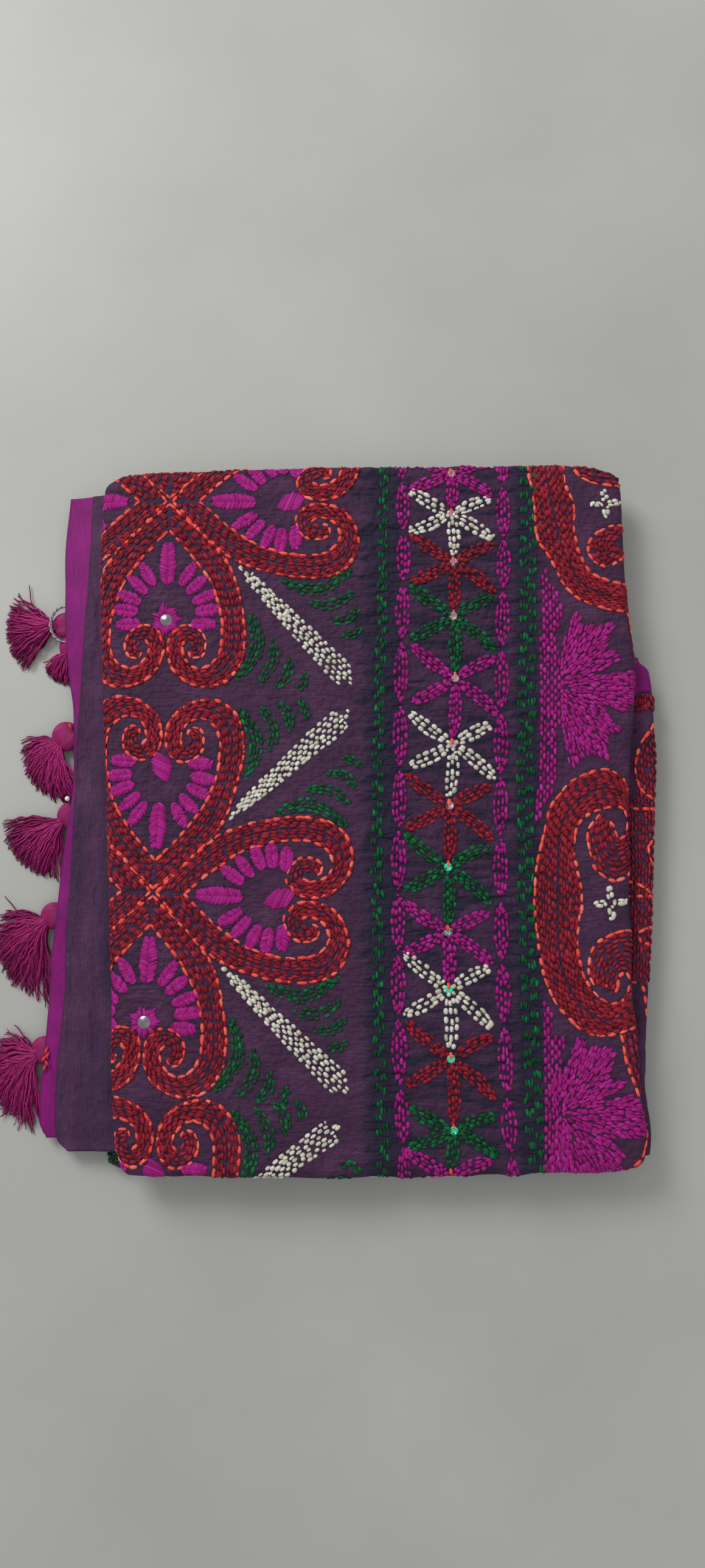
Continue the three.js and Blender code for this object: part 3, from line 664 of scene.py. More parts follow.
@dataclass
class EndBorder:
    """The end of the saree on the left: a plain magenta border, and the plum hem folded over it."""

    packet: Packet
    wall: float = 1.2
    seam: float = 0.3
    root_top: float = 17.8
    fall: float = 1.7
    ends: tuple[float, float] = (-206.5, 232.0)
    hem_ends: tuple[float, float] = (-215.0, 231.0)
    hem_wall: tuple[float, float] = (1.7, 2.6)
    edge: Curve = curve(
        (-206, -221), (-197, -225.5), (-162, -223.5), (-140, -221.5), (-112, -220), (-91, -219),
        (-64, -215.5), (-35, -213), (2, -208), (30, -205), (62, -204.5), (83, -205.5), (105, -208.8),
        (141, -211), (165, -211.5), (195, -212), (231, -208.5))
    lift: Curve = curve(
        (-206, 7.2), (-197, 7.6), (-162, 9.6), (-140, 9), (-112, 7), (-91, 8.2), (-64, 9.8), (-35, 8.2),
        (2, 9.7), (30, 7.8), (62, 9.7), (83, 8.4), (105, 7.6), (141, 9.8), (165, 8.2), (195, 6.8),
        (231, 7.2))
    hem_edge: Curve = curve(
        (-215, -206), (-207, -213.5), (-165, -213), (-120, -209.5), (-78, -207.8), (-11, -204.2),
        (32, -202.6), (103, -199), (173, -194), (231, -191.5))
    bend: Curve = curve(
        (-215, 0.1), (-207, 0.1), (-165, 0.7), (-120, 0.2), (-78, 0.9), (-11, 0.2), (32, 0.8), (103, 0.2),
        (173, 0.7), (231, 0.1))

    def root(self, y: Array) -> Array:
        """Where both come out from under the top run."""
        return self.packet.left(y) + self.packet.fold_radius - 1.3

    def top(self, x: Array, y: Array) -> Array:
        """The border's upper face: down from its root, steeply at first, to the height it is carried at."""
        root = self.root(y)
        out = np.clip((root - x) / (root - self.edge(y)), 0, 1)
        return mix(self.packet.level(self.root_top, root, y), self.lift(y), 1 - (1 - out) ** self.fall)

    def strip(self, name: str, ends: tuple[float, float], edge: Curve, top: Callable, wall: Callable,
              ripple: Callable, finish: WovenCloth, slot: str, replaces: str, rests: str, turned: float,
              shaded_in_folds: bool = False) -> Piece:
        """A strip of cloth between its root and its edge, round along the edge.

        Args:
            name, ends, finish, replaces: the piece's.
            slot, rests: the piece's; not used.
            edge: its outer edge.
            top: its upper face, at x, y and the share of the way out.
            wall: its thickness at that share.
            ripple: small creases at x, y and the share.
            turned: how much of the wall is rounded off along the edge.
            shaded_in_folds: whether it has painted shade, deeper towards its root in the shadow of the top
                run, and in patches over its soft folds.

        Returns:
            The piece.
        """
        rows, columns = int((ends[1] - ends[0]) / 1.8) + 1, 48
        y = np.linspace(*ends, rows)[:, None] + np.zeros(columns)
        share = np.sin(np.linspace(0, math.pi / 2, columns))[None, :] + np.zeros_like(y)
        root = self.root(y)
        x = mix(root, edge(y), share)
        thick = wall(share)
        from_edge = np.abs(x - edge(y))
        half = thick / 2
        swell = np.sqrt(np.clip(1 - (1 - np.clip(from_edge / (half * turned), 0, 1)) ** 2, 0.0, 1))
        middle = top(x, y, share) - half + ripple(x, y, share)
        upper = np.stack([x, y, middle + half * swell], -1)
        lower = np.stack([x, y, middle - half * swell], -1)
        points, faces = shell(upper, lower)
        uv = np.tile(np.stack([y.ravel(), x.ravel()], 1), (2, 1))
        # painted shade: darker towards the root, in the shadow of the top run, and in patches over soft
        # folds; the strip is also darker within 1.6 mm of its edge
        clouds = 0.45 * np.clip(noise(x / 9, y / 34, 27), 0, 1) + 0.5 * smooth((0.5 - share) / 0.5)
        shade = np.maximum(np.clip(1 - from_edge / 1.6, 0, 1) * 0.8, clouds * shaded_in_folds)
        piece = mesh_object(name, points, faces, uv=uv, tone=np.tile(shade.ravel(), 2))
        dress(piece, finish.make(), replaces)
        wide = float(np.mean(np.abs(root - edge(y)))) * MM
        return piece

    def build(self) -> list[Piece]:
        """Makes the border and the hem."""
        folds = lambda x, y, s: 0.25 * s * noise(x / 9, y / 14, 21) + 0.12 * noise(x / 3, y / 9, 22)
        border = self.strip(
            "border_cloth", self.ends, self.edge, lambda x, y, s: self.top(x, y), lambda s: self.wall + 0 * s,
            folds, MAGENTA_SILK, "border_cloth", "magenta_border", "hidden_plies", 1.2)
        thick = lambda s: mix(*self.hem_wall, np.maximum(0, (s - 0.6) / 0.4))
        rise = lambda y, s: self.bend(y) * np.sin(math.pi * s / 2)
        hem_top = lambda x, y, s: self.top(x, y) + self.seam + thick(s) + rise(y, s)
        slow = lambda x, y: 0.9 * noise(x / 6, y / 45, 23) + 0.4 * noise(x / 3.5, y / 16, 24)
        edge_waves = lambda y, s: 0.5 * smooth(s * 3) * noise(y / 18, 0 * y + 3, 25) * s
        soft = lambda x, y, s: slow(x, y) * np.sin(math.pi * s) + edge_waves(y, s)
        hem = self.strip(
            "hem_cloth", self.hem_ends, self.hem_edge, hem_top, thick, soft, PLUM_HEM, "plain_cloth",
            "plum_hem", border.name, 1.5, shaded_in_folds=True)
        return [border, hem]


@dataclass
class HiddenPlies:
    """All plies that don't show, as one soft block: runs above one another, each of a few plies."""

    packet: Packet
    left: tuple = ((0, 4.6, 10.5), (4.8, 9.2, 1.6), (9.5, 13, 0), (13.2, 16.4, -3.2))
    right: tuple = ((0, 4.6, -1.5), (4.8, 9.2, -2.5), (11.5, 14.8, -3.4), (14.8, 18.2, -3.4))
    bottom: tuple = ((0, 4.6, -4), (4.8, 9.2, -1.5), (9.4, 14, -3.5), (14.2, 18.6, -2))
    upper: tuple = ((0, 4.6, -9), (4.8, 9.2, -5), (9.4, 14, -7), (14.2, 18.6, -3))
    neck: float = -6.4
    square: int = 22  # power of the outline: 2 is a circle, and far more a rectangle with round corners
    groove: tuple = (9.2, 11.5, -14.0)  # between the two runs on the right
    below_top: float = 18.4  # up to here the right side follows the run below, not the top run
    ply: float = 1.15
    walls_to: float = 20.7  # height at which the sides go in under the top run
    under_fold: tuple = (150, 120, 90, 55, 22)  # degrees of the rings that follow the top run's fold
    under_top: tuple = (0.97, 0.8, 0.6, 0.4, 0.2)  # sizes of the rings below its flat

    def reach(self, runs: tuple, z: float) -> float:
        """How far a side stands out at a height: round at a run's edge, in to the neck between runs."""
        for low, high, out in runs:
            if low < z < high:
                half = (high - low) / 2
                off = abs(z - low - half) / half
                return max(out - half * (1 - math.sqrt(1 - off * off)), self.neck)
        return self.neck

    def outline(self, count: int = 420) -> tuple[Array, Array]:
        """u and v round a rectangle with round corners."""
        turn = np.linspace(0, TAU, count, endpoint=False)
        cu, cv = np.cos(turn), np.sin(turn)
        k = (np.abs(cu) ** self.square + np.abs(cv) ** self.square) ** (-1 / self.square)
        return cu * k, cv * k

    def ring(self, z: float, shrink: float = 1.0, extra: Array | float = 0.0, fill: bool = False) -> Array:
        """The block's outline at a height.

        Args:
            z: the height.
            shrink: the outline's size.
            extra: how far all sides are moved out.
            fill: whether they are moved by that alone, and not by each side's own reach.

        Returns:
            (n, 3) points.
        """
        u, v = self.outline()
        p = self.packet
        if fill:
            sides = [extra] * 4
        else:
            sides = [self.reach(runs, z) for runs in (self.left, self.right, self.bottom, self.upper)]
            low, high, in_to = self.groove
            if low < z < high:
                sides[1] = in_to
            sides = [s + extra for s in sides]
        across = mix(*p.span, (v * shrink + 1) / 2)
        right = p.right(across)
        if z < self.below_top:
            right = mix(p.below(across), right - 4, smooth((across - 84) / 14))
        x = mix(p.left(across) - sides[0], right + sides[1], (u * shrink + 1) / 2)
        y = mix(p.bottom(x) - sides[2], p.upper(x) + sides[3], (v * shrink + 1) / 2)
        return np.stack([x, y, p.level(np.full_like(x, z), x, y)], -1)

    def build(self) -> Piece:
        """Rings up the side with a groove between plies, then in under the top run."""
        u, _ = self.outline()
        n = len(u)
        round_it = np.linspace(0, 40, n)
        heights = np.concatenate([[0.0], np.arange(0.12, self.walls_to, self.ply / 5)])
        rings, tones = [], []
        for z in heights:
            number = int(z / self.ply)
            in_ply = abs((z / self.ply) % 1 - 0.5) * 2
            uneven = noise(round_it / 2.2, np.full_like(round_it, 3.7 * number), 31) * 0.7 - 0.7
            rings.append(self.ring(float(z), extra=uneven - 0.55 * in_ply**3))
            tones.append(np.full(n, (number * 0.37) % 1.0))
        fill = self.packet.fold_radius - self.packet.cloth - 0.3
        for a in np.radians(self.under_fold):
            ring = self.ring(self.packet.top, extra=self.neck + fill * math.sin(a), fill=True)
            ring[:, 2] += fill * math.cos(a) - self.packet.fold_radius
            rings.append(ring)
        for shrink in self.under_top:
            ring = self.ring(self.packet.top, shrink, self.neck, fill=True)
            ring[:, 2] -= self.packet.cloth + 0.8
            rings.append(ring)
        count = len(rings)
        inner = count - len(heights)
        points, tris = closed_rings(np.array(rings), np.array([rings[0].mean(0), rings[-1].mean(0)]))
        tone = np.concatenate(tones + [np.zeros(inner * n + 2)])
        up = np.repeat(np.concatenate([heights * 3, np.full(inner, 60.0)]), n)
        uv = np.stack([np.append(k, [0, 0]) for k in (np.tile(round_it * 40, count), up)], 1)
        piece = mesh_object("hidden_plies", points, tris, uv=uv, tone=tone)
        dress(piece, PLUM_PLIES.make(), "hidden_layers")
        return piece


# ---- needlework ----------------------------------------------------------------------------


class Thread(Enum):
    """The flosses of the embroidery, with the finish of each."""

    ORANGE = Floss("orange cotton floss", "#ff5a4a", "#f4463a", "#ff8672")
    RED = Floss("dark red cotton floss", "#8c1428", "#5a0d1e", "#ac283c")
    MAGENTA = Floss("magenta cotton floss", "#a6107c", "#780a5a", "#bc2c98")
    IVORY = Floss("ivory cotton floss", "#dedac9", "#b8b29e", "#f2efe3")
    GREEN = Floss("bottle green cotton floss", "#03502a", "#02301b", "#0c7c44")


def path_through(points: list[tuple[float, float]] | Array, fine: int = 10) -> Array:
    """A smooth path through points: x and y each a Curve over the distance gone.

    Args:
        points: the places that it goes through.
        fine: samples between two of them.

    Returns:
        (n, 2) samples.
    """
    p = np.asarray(points, float)
    gone = np.concatenate([[0], np.cumsum(np.hypot(*np.diff(p, axis=0).T) + 1e-6)])
    parts = [np.linspace(a, b, fine, endpoint=False) for a, b in zip(gone, gone[1:])]
    at = np.concatenate(parts + [gone[-1:]])
    return np.stack([Curve(np.stack([gone, p[:, k]], 1))(at) for k in (0, 1)], 1)


def along(path: Array) -> tuple[Array, Callable[[Array], Array]]:
    """The distance gone at each sample of a path, and a reader of places at any distance."""
    gone = np.concatenate([[0], np.cumsum(np.hypot(*np.diff(path, axis=0).T))])
    return gone, lambda s: np.stack([np.interp(s, gone, path[:, k]) for k in (0, 1)], 1)


def offset(path: Array, out: Array | float) -> Array:
    """A path moved sideways, to its left, by a distance that may change along it."""
    ahead = np.gradient(path, axis=0)
    ahead /= np.hypot(*ahead.T)[:, None] + 1e-9
    return path + np.stack([-ahead[:, 1], ahead[:, 0]], 1) * np.reshape(out, (-1, 1) if np.ndim(out) else ())


def inside(points: Array, outline: Array) -> Array:
    """Which points lie inside a closed outline: those from which a line crosses it an odd number of times."""
    (x, y), (ax, ay), (bx, by) = points.T[:, :, None], outline.T[:, None], np.roll(outline, -1, 0).T[:, None]
    spans = (ay > y) != (by > y)
    return (spans & (x < ax + (bx - ax) * (y - ay) / (by - ay + 1e-12))).sum(1) % 2 == 1


@dataclass
class Needlework:
    """All stitches, by thread: rows of (x0, y0, x1, y1, width, tone) in the flat pattern."""

    rng: np.random.Generator = field(default_factory=lambda: np.random.default_rng(SEED))
    rows: dict = field(default_factory=lambda: {thread: [] for thread in Thread})

    def add(self, thread: Thread, start: Array, end: Array, width: Array | float) -> None:
        """Adds stitches from their two ends, each a little off its place and with a tone of its own."""
        n = len(start)
        tone = np.clip(self.rng.normal(0.5, 0.21, n), 0, 1)
        wide = width * self.rng.uniform(0.78, 1.2, n)
        off = self.rng.normal(0, 0.22, (n, 2))
        self.rows[thread].append(np.column_stack([start + off, end + off, wide, tone]))

    def run(self, thread: Thread, path: Array, length: float, gap: float, width: float, shift: float = 0.0,
            within: Array | None = None) -> None:
        """A row of running stitch: stitches and gaps along the path, by the distance gone on it.

        Args:
            thread: its thread.
            path: (n, 2) samples.
            length, gap: of each stitch and the space after it.
            width: of the floss.
            shift: part of a stitch by which the row starts later.
            within: outline outside which no stitch is made.
        """
        gone, at = along(path)
        count = max(int(round(gone[-1] / (length + gap))), 1)
        pitch = gone[-1] / count
        full = pitch * length / (length + gap)
        start = (np.arange(-1, count + 1) + shift % 1) * pitch + self.rng.normal(0, 0.09 * pitch, count + 2)
        end = start + full * self.rng.uniform(0.78, 1.2, count + 2)
        start, end = np.clip(start, 0, gone[-1]), np.clip(end, 0, gone[-1])
        keep = end - start > 0.4 * full
        a, b = at(start[keep]), at(end[keep])
        if within is not None:
            kept = inside((a + b) / 2, within)
            a, b = a[kept], b[kept]
        self.add(thread, a, b, width)

    def fill(self, thread: Thread, outer: Array, inner: Array, rows: int, length: float, gap: float,
             width: float, margin: float = 0.14) -> None:
        """Rows of running stitch between two paths of matched samples, each row set off like bricks."""
        for k, f in enumerate(np.linspace(margin, 1 - margin, rows)):
            self.run(thread, mix(outer, inner, f), length, gap, width, shift=0.5 * (k % 2) + 0.17 * k)

    def leaf(self, thread: Thread, spine: Array, wide: float, rows: int, length: float, gap: float,
             width: float, blunt: float = 0.8, thick_end: float = 0.0) -> None:
        """A leaf filled with rows that bow out from its spine and meet at its ends.

        Args:
            thread: its thread.
            spine: samples along its middle.
            wide: its width at the fullest.
            rows: how many.
            length, gap, width: of the stitches.
            blunt: power of the half wave that its outline follows.
            thick_end: from 0, a lens, to 1, a club that is thick at the far end.
        """
        t = np.linspace(0, 1, len(spine))
        lens = np.sin(math.pi * t) ** blunt
        club = (0.2 + 0.8 * t**0.75) * (0.4 + 0.6 * smooth((1 - t) * 9) ** 0.5)
        outline = mix(lens, club, thick_end) * wide / 2
        for k, f in enumerate(np.linspace(-1, 1, rows)):
            keep = slice(None) if abs(f) < 0.6 else slice(len(t) // 12, -(len(t) // 16) or None)
            shift = 0.5 * (k % 2) + self.rng.uniform(0, 0.5)
            self.run(thread, offset(spine, f * outline)[keep], length, gap, width, shift)

    def petal(self, tip: Array, root: Array, wide: float, whole: bool = False) -> None:
        """A satin petal: close slanting stitches from its middle line out to its edges.

        Args:
            tip, root: its two ends.
            wide: its width.
            whole: true where the stitches go from edge to edge, all one way.
        """
        thread = Thread.MAGENTA
        long = float(np.hypot(*(tip - root)))
        count = max(int(long / 0.62), 5)
        t = np.linspace(0.02, 0.98, count)
        ahead = (tip - root) / long
        side = np.array([-ahead[1], ahead[0]])
        outline = wide / 2 * np.sin(math.pi * np.clip(t * 0.84 + 0.12, 0, 1)) ** (0.3 if whole else 0.42)
        rag = self.rng.uniform(0.9, 1.08, (2, count, 1))
        at = root + ahead * (t * long)[:, None]
        if whole:
            slant, out = ahead * (0.2 * wide), side * outline[:, None]
            self.add(thread, at - out * rag[0] - slant, at + out * rag[1] + slant, 1.7)
            return
        for way in (-1, 1):
            middle = at - side * way * 0.8
            edge = middle + (side * way) * (outline[:, None] + 0.8) * rag[way] + ahead * (0.24 * wide)
            self.add(thread, middle, edge, 2.0)


@dataclass
class Relief:
    """How the stitched cloth stands up between its stitches, as a field over the flat pattern."""

    half: float = 300.0
    cell: float = 1.0
    pad: float = 1.25
    marks: Array | None = None

    def draw(self, work: Needlework) -> None:
        """Marks every stitch in the field and softens it: 1 on a close row, 0 on free ground."""
        n = int(2 * self.half / self.cell)
        marks = np.zeros((n, n))
        for rows in work.rows.values():
            s = np.concatenate(rows) if rows else np.zeros((0, 6))
            for t in (0.0, 0.25, 0.5, 0.75, 1.0):
                p = (mix(s[:, :2], s[:, 2:4], t) + self.half) / self.cell
                i = np.clip(np.round(p).astype(int), 0, n - 1)
                np.add.at(marks, (i[:, 1], i[:, 0]), 0.34)
        for _ in range(3):
            for axis in (0, 1):
                marks = (np.roll(marks, 1, axis) + 1.2 * marks + np.roll(marks, -1, axis)) / 3.2
        self.marks = np.clip(marks * 2.2, 0, 1)

    def near(self, x: Array, y: Array) -> Array:
        """The field at places, between its cells."""
        n = len(self.marks)
        p, q = [np.clip((k + self.half) / self.cell, 0, n - 2) for k in (x, y)]
        i, j = p.astype(int), q.astype(int)
        f = self.marks
        return mix(mix(f[j, i], f[j, i + 1], p - i), mix(f[j + 1, i], f[j + 1, i + 1], p - i), q - j)

    def wrinkles(self, x: Array, y: Array) -> Array:
        """Short level wrinkles from -1 to 1, which the two lines draw up and the stars' column carries on."""
        bell = lambda middle, wide: np.exp(-(((x - middle) / wide) ** 2))
        beside = bell(6, 15) + bell(92, 26) + 0.5 * bell(50, 30)
        return noise(x / 17, y / 3.3, 1) * np.clip(beside, 0, 1)

    def __call__(self, x: Array, y: Array) -> Array:
        """Relief in mm: down at the stitches, padded between, and puckered beside the lines."""
        down = self.near(x, y)
        pucker = self.wrinkles(x, y) * 2.1 + noise(x / 15, y / 2.6, 1) * 0.16 + noise(x / 5, y / 5, 2) * 0.16
        slow = 0.5 * noise(x / 34, y / 21, 3)
        return self.pad * (1 - down) + pucker * (1 - 0.6 * down) + slow


STATIONS = ((0.0, 0.0, 0.0), (0.12, 0.72, 0.72), (0.48, 1.0, 1.3), (0.88, 0.72, 0.72), (1.0, 0.0, 0.0))
SINK = 0.25  # mm that a stitch's ends go into the cloth; the rows above are its place, width and arch


def stitch_piece(name: str, rows: Array, lay: Lay, finish: Floss, keep: Callable) -> Piece:
    """One thread's stitches as one mesh of spindles.

    Each stitch is a diamond section carried from a point where it dips into the cloth, over its
    full middle, to a point where it dips in again.

    Args:
        name: the piece's name.
        rows: (n, 6) stitches.
        lay: takes x, y and a lift, and gives points on the cloth.
        finish: of the thread.
        keep: takes x and y, and says which are on the cloth that shows.

    Returns:
        The piece.
    """
    middle = (rows[:, :2] + rows[:, 2:4]) / 2
    rows = rows[keep(middle[:, 0], middle[:, 1])]
    start, end, wide, tone = rows[:, :2], rows[:, 2:4], rows[:, 4], rows[:, 5]
    ahead = end - start
    long = np.hypot(*ahead.T) + 1e-9
    ahead = ahead / long[:, None]
    side = np.stack([-ahead[:, 1], ahead[:, 0]], 1)
    points, uv = [], []
    for t, w, arch in STATIONS:
        base = start + ahead * (t * long)[:, None]
        ring = [(-1, 0), (0, 1), (1, 0), (0, -1)] if w else [(0, 0)]
        for k, (across, rise) in enumerate(ring):
            p = base + side * (across * w * wide / 2)[:, None]
            lift = wide * (0.17 * arch + rise * 0.25 * w) if w else np.full(len(wide), -SINK)
            points.append(lay(p[:, 0], p[:, 1], lift))
            uv.append(np.stack([t * long, (k - 1) * wide * 0.5], 1))
    turn = [(k, (k + 1) % 4) for k in range(4)]
    one = [(0, 1 + j, 1 + k) for k, j in turn]
    for a in (1, 5):
        one += [f for k, j in turn for f in ((a + k, a + j, a + 4 + j), (a + k, a + 4 + j, a + 4 + k))]
    one += [(9 + k, 9 + j, 13) for k, j in turn]
    each = len(points)
    stacked, uv = np.stack(points, 1).reshape(-1, 3), np.stack(uv, 1).reshape(-1, 2)
    faces = copies(np.array(one), len(rows), each)
    piece = mesh_object(name, stacked, faces, uv=uv, tone=np.repeat(tone, each))
    return dress(piece, finish.make())


# ---- the pallu's pattern -------------------------------------------------------------------


@dataclass
class Heart:
    """One heart of a four-fold rosette: a band that rises from the rosette's middle and scrolls in.

    Its own frame has s along its axis, away from the rosette's middle, and t out to a side. The
    outer and inner edges of the band are matched, so that rows of filling lie between them.
    """

    centre: tuple[float, float]
    axis: float  # degrees from +x
    long: float = 131.0
    mirror: bool = False  # sewn at its hub, in place of a bud
    drawn_long: float = 131.0  # the length at which the points below are given
    hub_at: float = 0.64  # of that length, along the axis
    outer: tuple = ((0, 1), (12, 11.5), (24, 22.5), (34, 33), (42.5, 45), (48.5, 60), (52, 75), (54.5, 90),
                    (54.5, 104), (51.5, 116), (43.5, 126), (29, 131), (14, 127), (4.5, 118.5), (1.2, 109),
                    (0.6, 101), (3.2, 92.5), (9, 88))
    inner: tuple = ((0, 20.5), (6, 27), (14, 36), (22, 46), (29.5, 57), (34.5, 70), (37.5, 82), (38.6, 93),
                    (38, 103), (35.5, 110), (31, 115), (25, 117.8), (19, 116.5), (14, 112), (11.6, 106.5),
                    (11, 101.5), (12.5, 98), (15.5, 97))
    curl: tuple = ((9, 88), (14, 87), (21, 89.4), (26.3, 95), (27.6, 102), (25.6, 108.6), (20, 111.2),
                   (16.2, 108), (16.4, 104.4))
    curl_middle: tuple[float, float] = (18.5, 101.5)

    def to_pattern(self, t: Array, s: Array) -> Array:
        """Places of the heart's frame in the flat pattern."""
        k = self.long / self.drawn_long
        a = math.radians(self.axis)
        ahead, side = np.array([math.cos(a), math.sin(a)]), np.array([math.sin(a), -math.cos(a)])
        return np.array(self.centre) + np.multiply.outer(s * k, ahead) + np.multiply.outer(t * k, side)

    def sew(self, work: Needlework) -> None:
        """Outlines in orange, rows of dark red between them, and the flower inside."""
        for way in (1, -1):
            outer, inner = [self.matched(points, way) for points in (self.outer, self.inner)]
            work.run(Thread.ORANGE, offset(outer, 0.9 * way), 6.6, 1.0, 2.55)
            t, s = path_through(self.curl).T
            work.run(Thread.ORANGE, self.to_pattern(t * way, s), 5.4, 0.9, 2.3)
            work.run(Thread.ORANGE, inner, 6.4, 1.0, 2.5)
            for start, end in ((0.0, 0.47), (0.53, 1.0)):
                sides = [mix(outer, inner, f)[2:] for f in (start, end)]
                work.fill(Thread.RED, *sides, 4, 5.4, 0.8, 2.6)
            curl = self.matched(self.curl, way)
            middle = self.to_pattern(np.array(self.curl_middle[0] * way), np.array(self.curl_middle[1]))
            for f in (0.2, 0.4, 0.6, 0.8):
                work.run(Thread.RED, mix(curl, middle, f)[: int(len(curl) * (1 - 0.3 * f))], 4.8, 0.7, 2.6)
        self.flower(work)

    def matched(self, points: tuple, way: int) -> Array:
        """A path on one side, 1 or -1, sampled evenly in the number of the point, so two paths keep step."""
        p = np.asarray(points, float)
        n = np.arange(len(p))
        at = np.linspace(0, len(p) - 1, 12 * (len(p) - 1) + 1)
        t, s = [Curve(np.stack([n, p[:, k]], 1))(at) for k in (0, 1)]
        return self.to_pattern(t * way, s)

    def flower(self, work: Needlework) -> None:
        """Eleven satin petals round a bud or a mirror at the heart's widest."""
        hub = self.hub_at * self.drawn_long
        leaves = [((0, 53), (0, 24), 12.0)]
        for way in (1, -1):
            for (x0, y0), (x1, y1), wide in (((8.6, 24), (18, 38.5), 8.6), ((13, 18.5), (25, 29), 8.4),
                                             ((17.5, 12), (32.5, 19), 8.8), ((19, 5.4), (34.5, 8), 9.6),
                                             ((17, -2.6), (32, -3), 9.8)):
                leaves.append(((x1 * way, y1), (x0 * way, y0), wide))
        for tip, root, wide in leaves:
            tip, root = [self.to_pattern(np.array(float(p[0])), np.array(hub - p[1])) for p in (tip, root)]
            work.petal(tip, root, wide)
        if not self.mirror:
            top, foot = [self.to_pattern(np.array(0.0), np.array(hub + s)) for s in (7.5, -7.5)]
            work.petal(foot, top, 15.5, whole=True)
        else:
            turn = np.linspace(0, TAU, 36, endpoint=False)
            ring = lambda r: self.hub() + r[:, None] * np.stack([np.cos(turn), np.sin(turn)], 1)
            rag = 1 + 0.16 * np.cos(turn * 7) + work.rng.uniform(-0.08, 0.08, len(turn))
            work.add(Thread.MAGENTA, ring(np.full(len(turn), 3.4)), ring(9.6 * rag), 2.2)

    def hub(self) -> Array:
        """The flower's middle."""
        return self.to_pattern(np.array(0.0), np.array(self.hub_at * self.drawn_long))


LOTUSES = (  # the hub, the outline of the petals, and that of the stepped strip before them
    (
        (124.9, 84.3),
        ((139.6, 133.9), (145.4, 127), (146, 123.6), (157.6, 125.4), (165.7, 124.3), (162.4, 114.7),
         (160.8, 108.5), (168.5, 99.9), (156.9, 94), (149.7, 90), (164.9, 91.7), (176.3, 92.6),
         (180.3, 83.4), (176, 72.7), (170.7, 63.7), (162.8, 66.8), (150.8, 71.3), (158.6, 64.9),
         (161.5, 58.6), (166.2, 54.4), (161.1, 50.4), (157.8, 49.2), (157.4, 42.3), (157.6, 30),
         (153.3, 34.2), (143.3, 36.5), (140.2, 36.6), (134.6, 28.5), (130.7, 32.7), (129.2, 43),
         (127.7, 53.3), (127.4, 73.9), (129.9, 111.4), (133.5, 117.6), (135.1, 123.9), (137.3, 130.1)),
        ((119.6, 166.6), (127.9, 149.3), (131.3, 134.4), (125.1, 115.6), (131.5, 94.5), (129.2, 61.4),
         (123.5, 53.3), (122, 20.6), (117.5, 8.5), (106.7, -9.4), (109.6, 20.9), (114.4, 95),
         (117.1, 136.9)),
    ),
    (
        (114.3, -195),
        ((127.1, -146.8), (132.7, -151.5), (132.6, -154.2), (141.5, -154.4), (150.6, -153.1),
         (150.9, -161.5), (147.8, -169.1), (148.4, -172.2), (156.8, -176.9), (149.9, -182.5),
         (141.8, -188.7), (149.6, -186.6), (161.5, -183.5), (166.1, -187.9), (172, -202.3), (168.3, -209.6),
         (159.9, -211.8), (144.6, -209.9), (148.2, -214.5), (158.3, -221.5), (152.4, -223.2), (152, -246),
         (104.7, -246), (106.3, -183.4), (111.6, -169.1), (119.5, -166.6), (121.3, -160.9), (124, -153.3)),
        ((105.8, -122.8), (114, -131.9), (110.7, -145.3), (120.4, -146.3), (115.7, -164.6), (116.8, -183.7),
         (119.6, -206.4), (118, -260), (102, -260), (104.3, -202.3), (104.8, -164.4), (106.6, -141.4)),
    ),
)


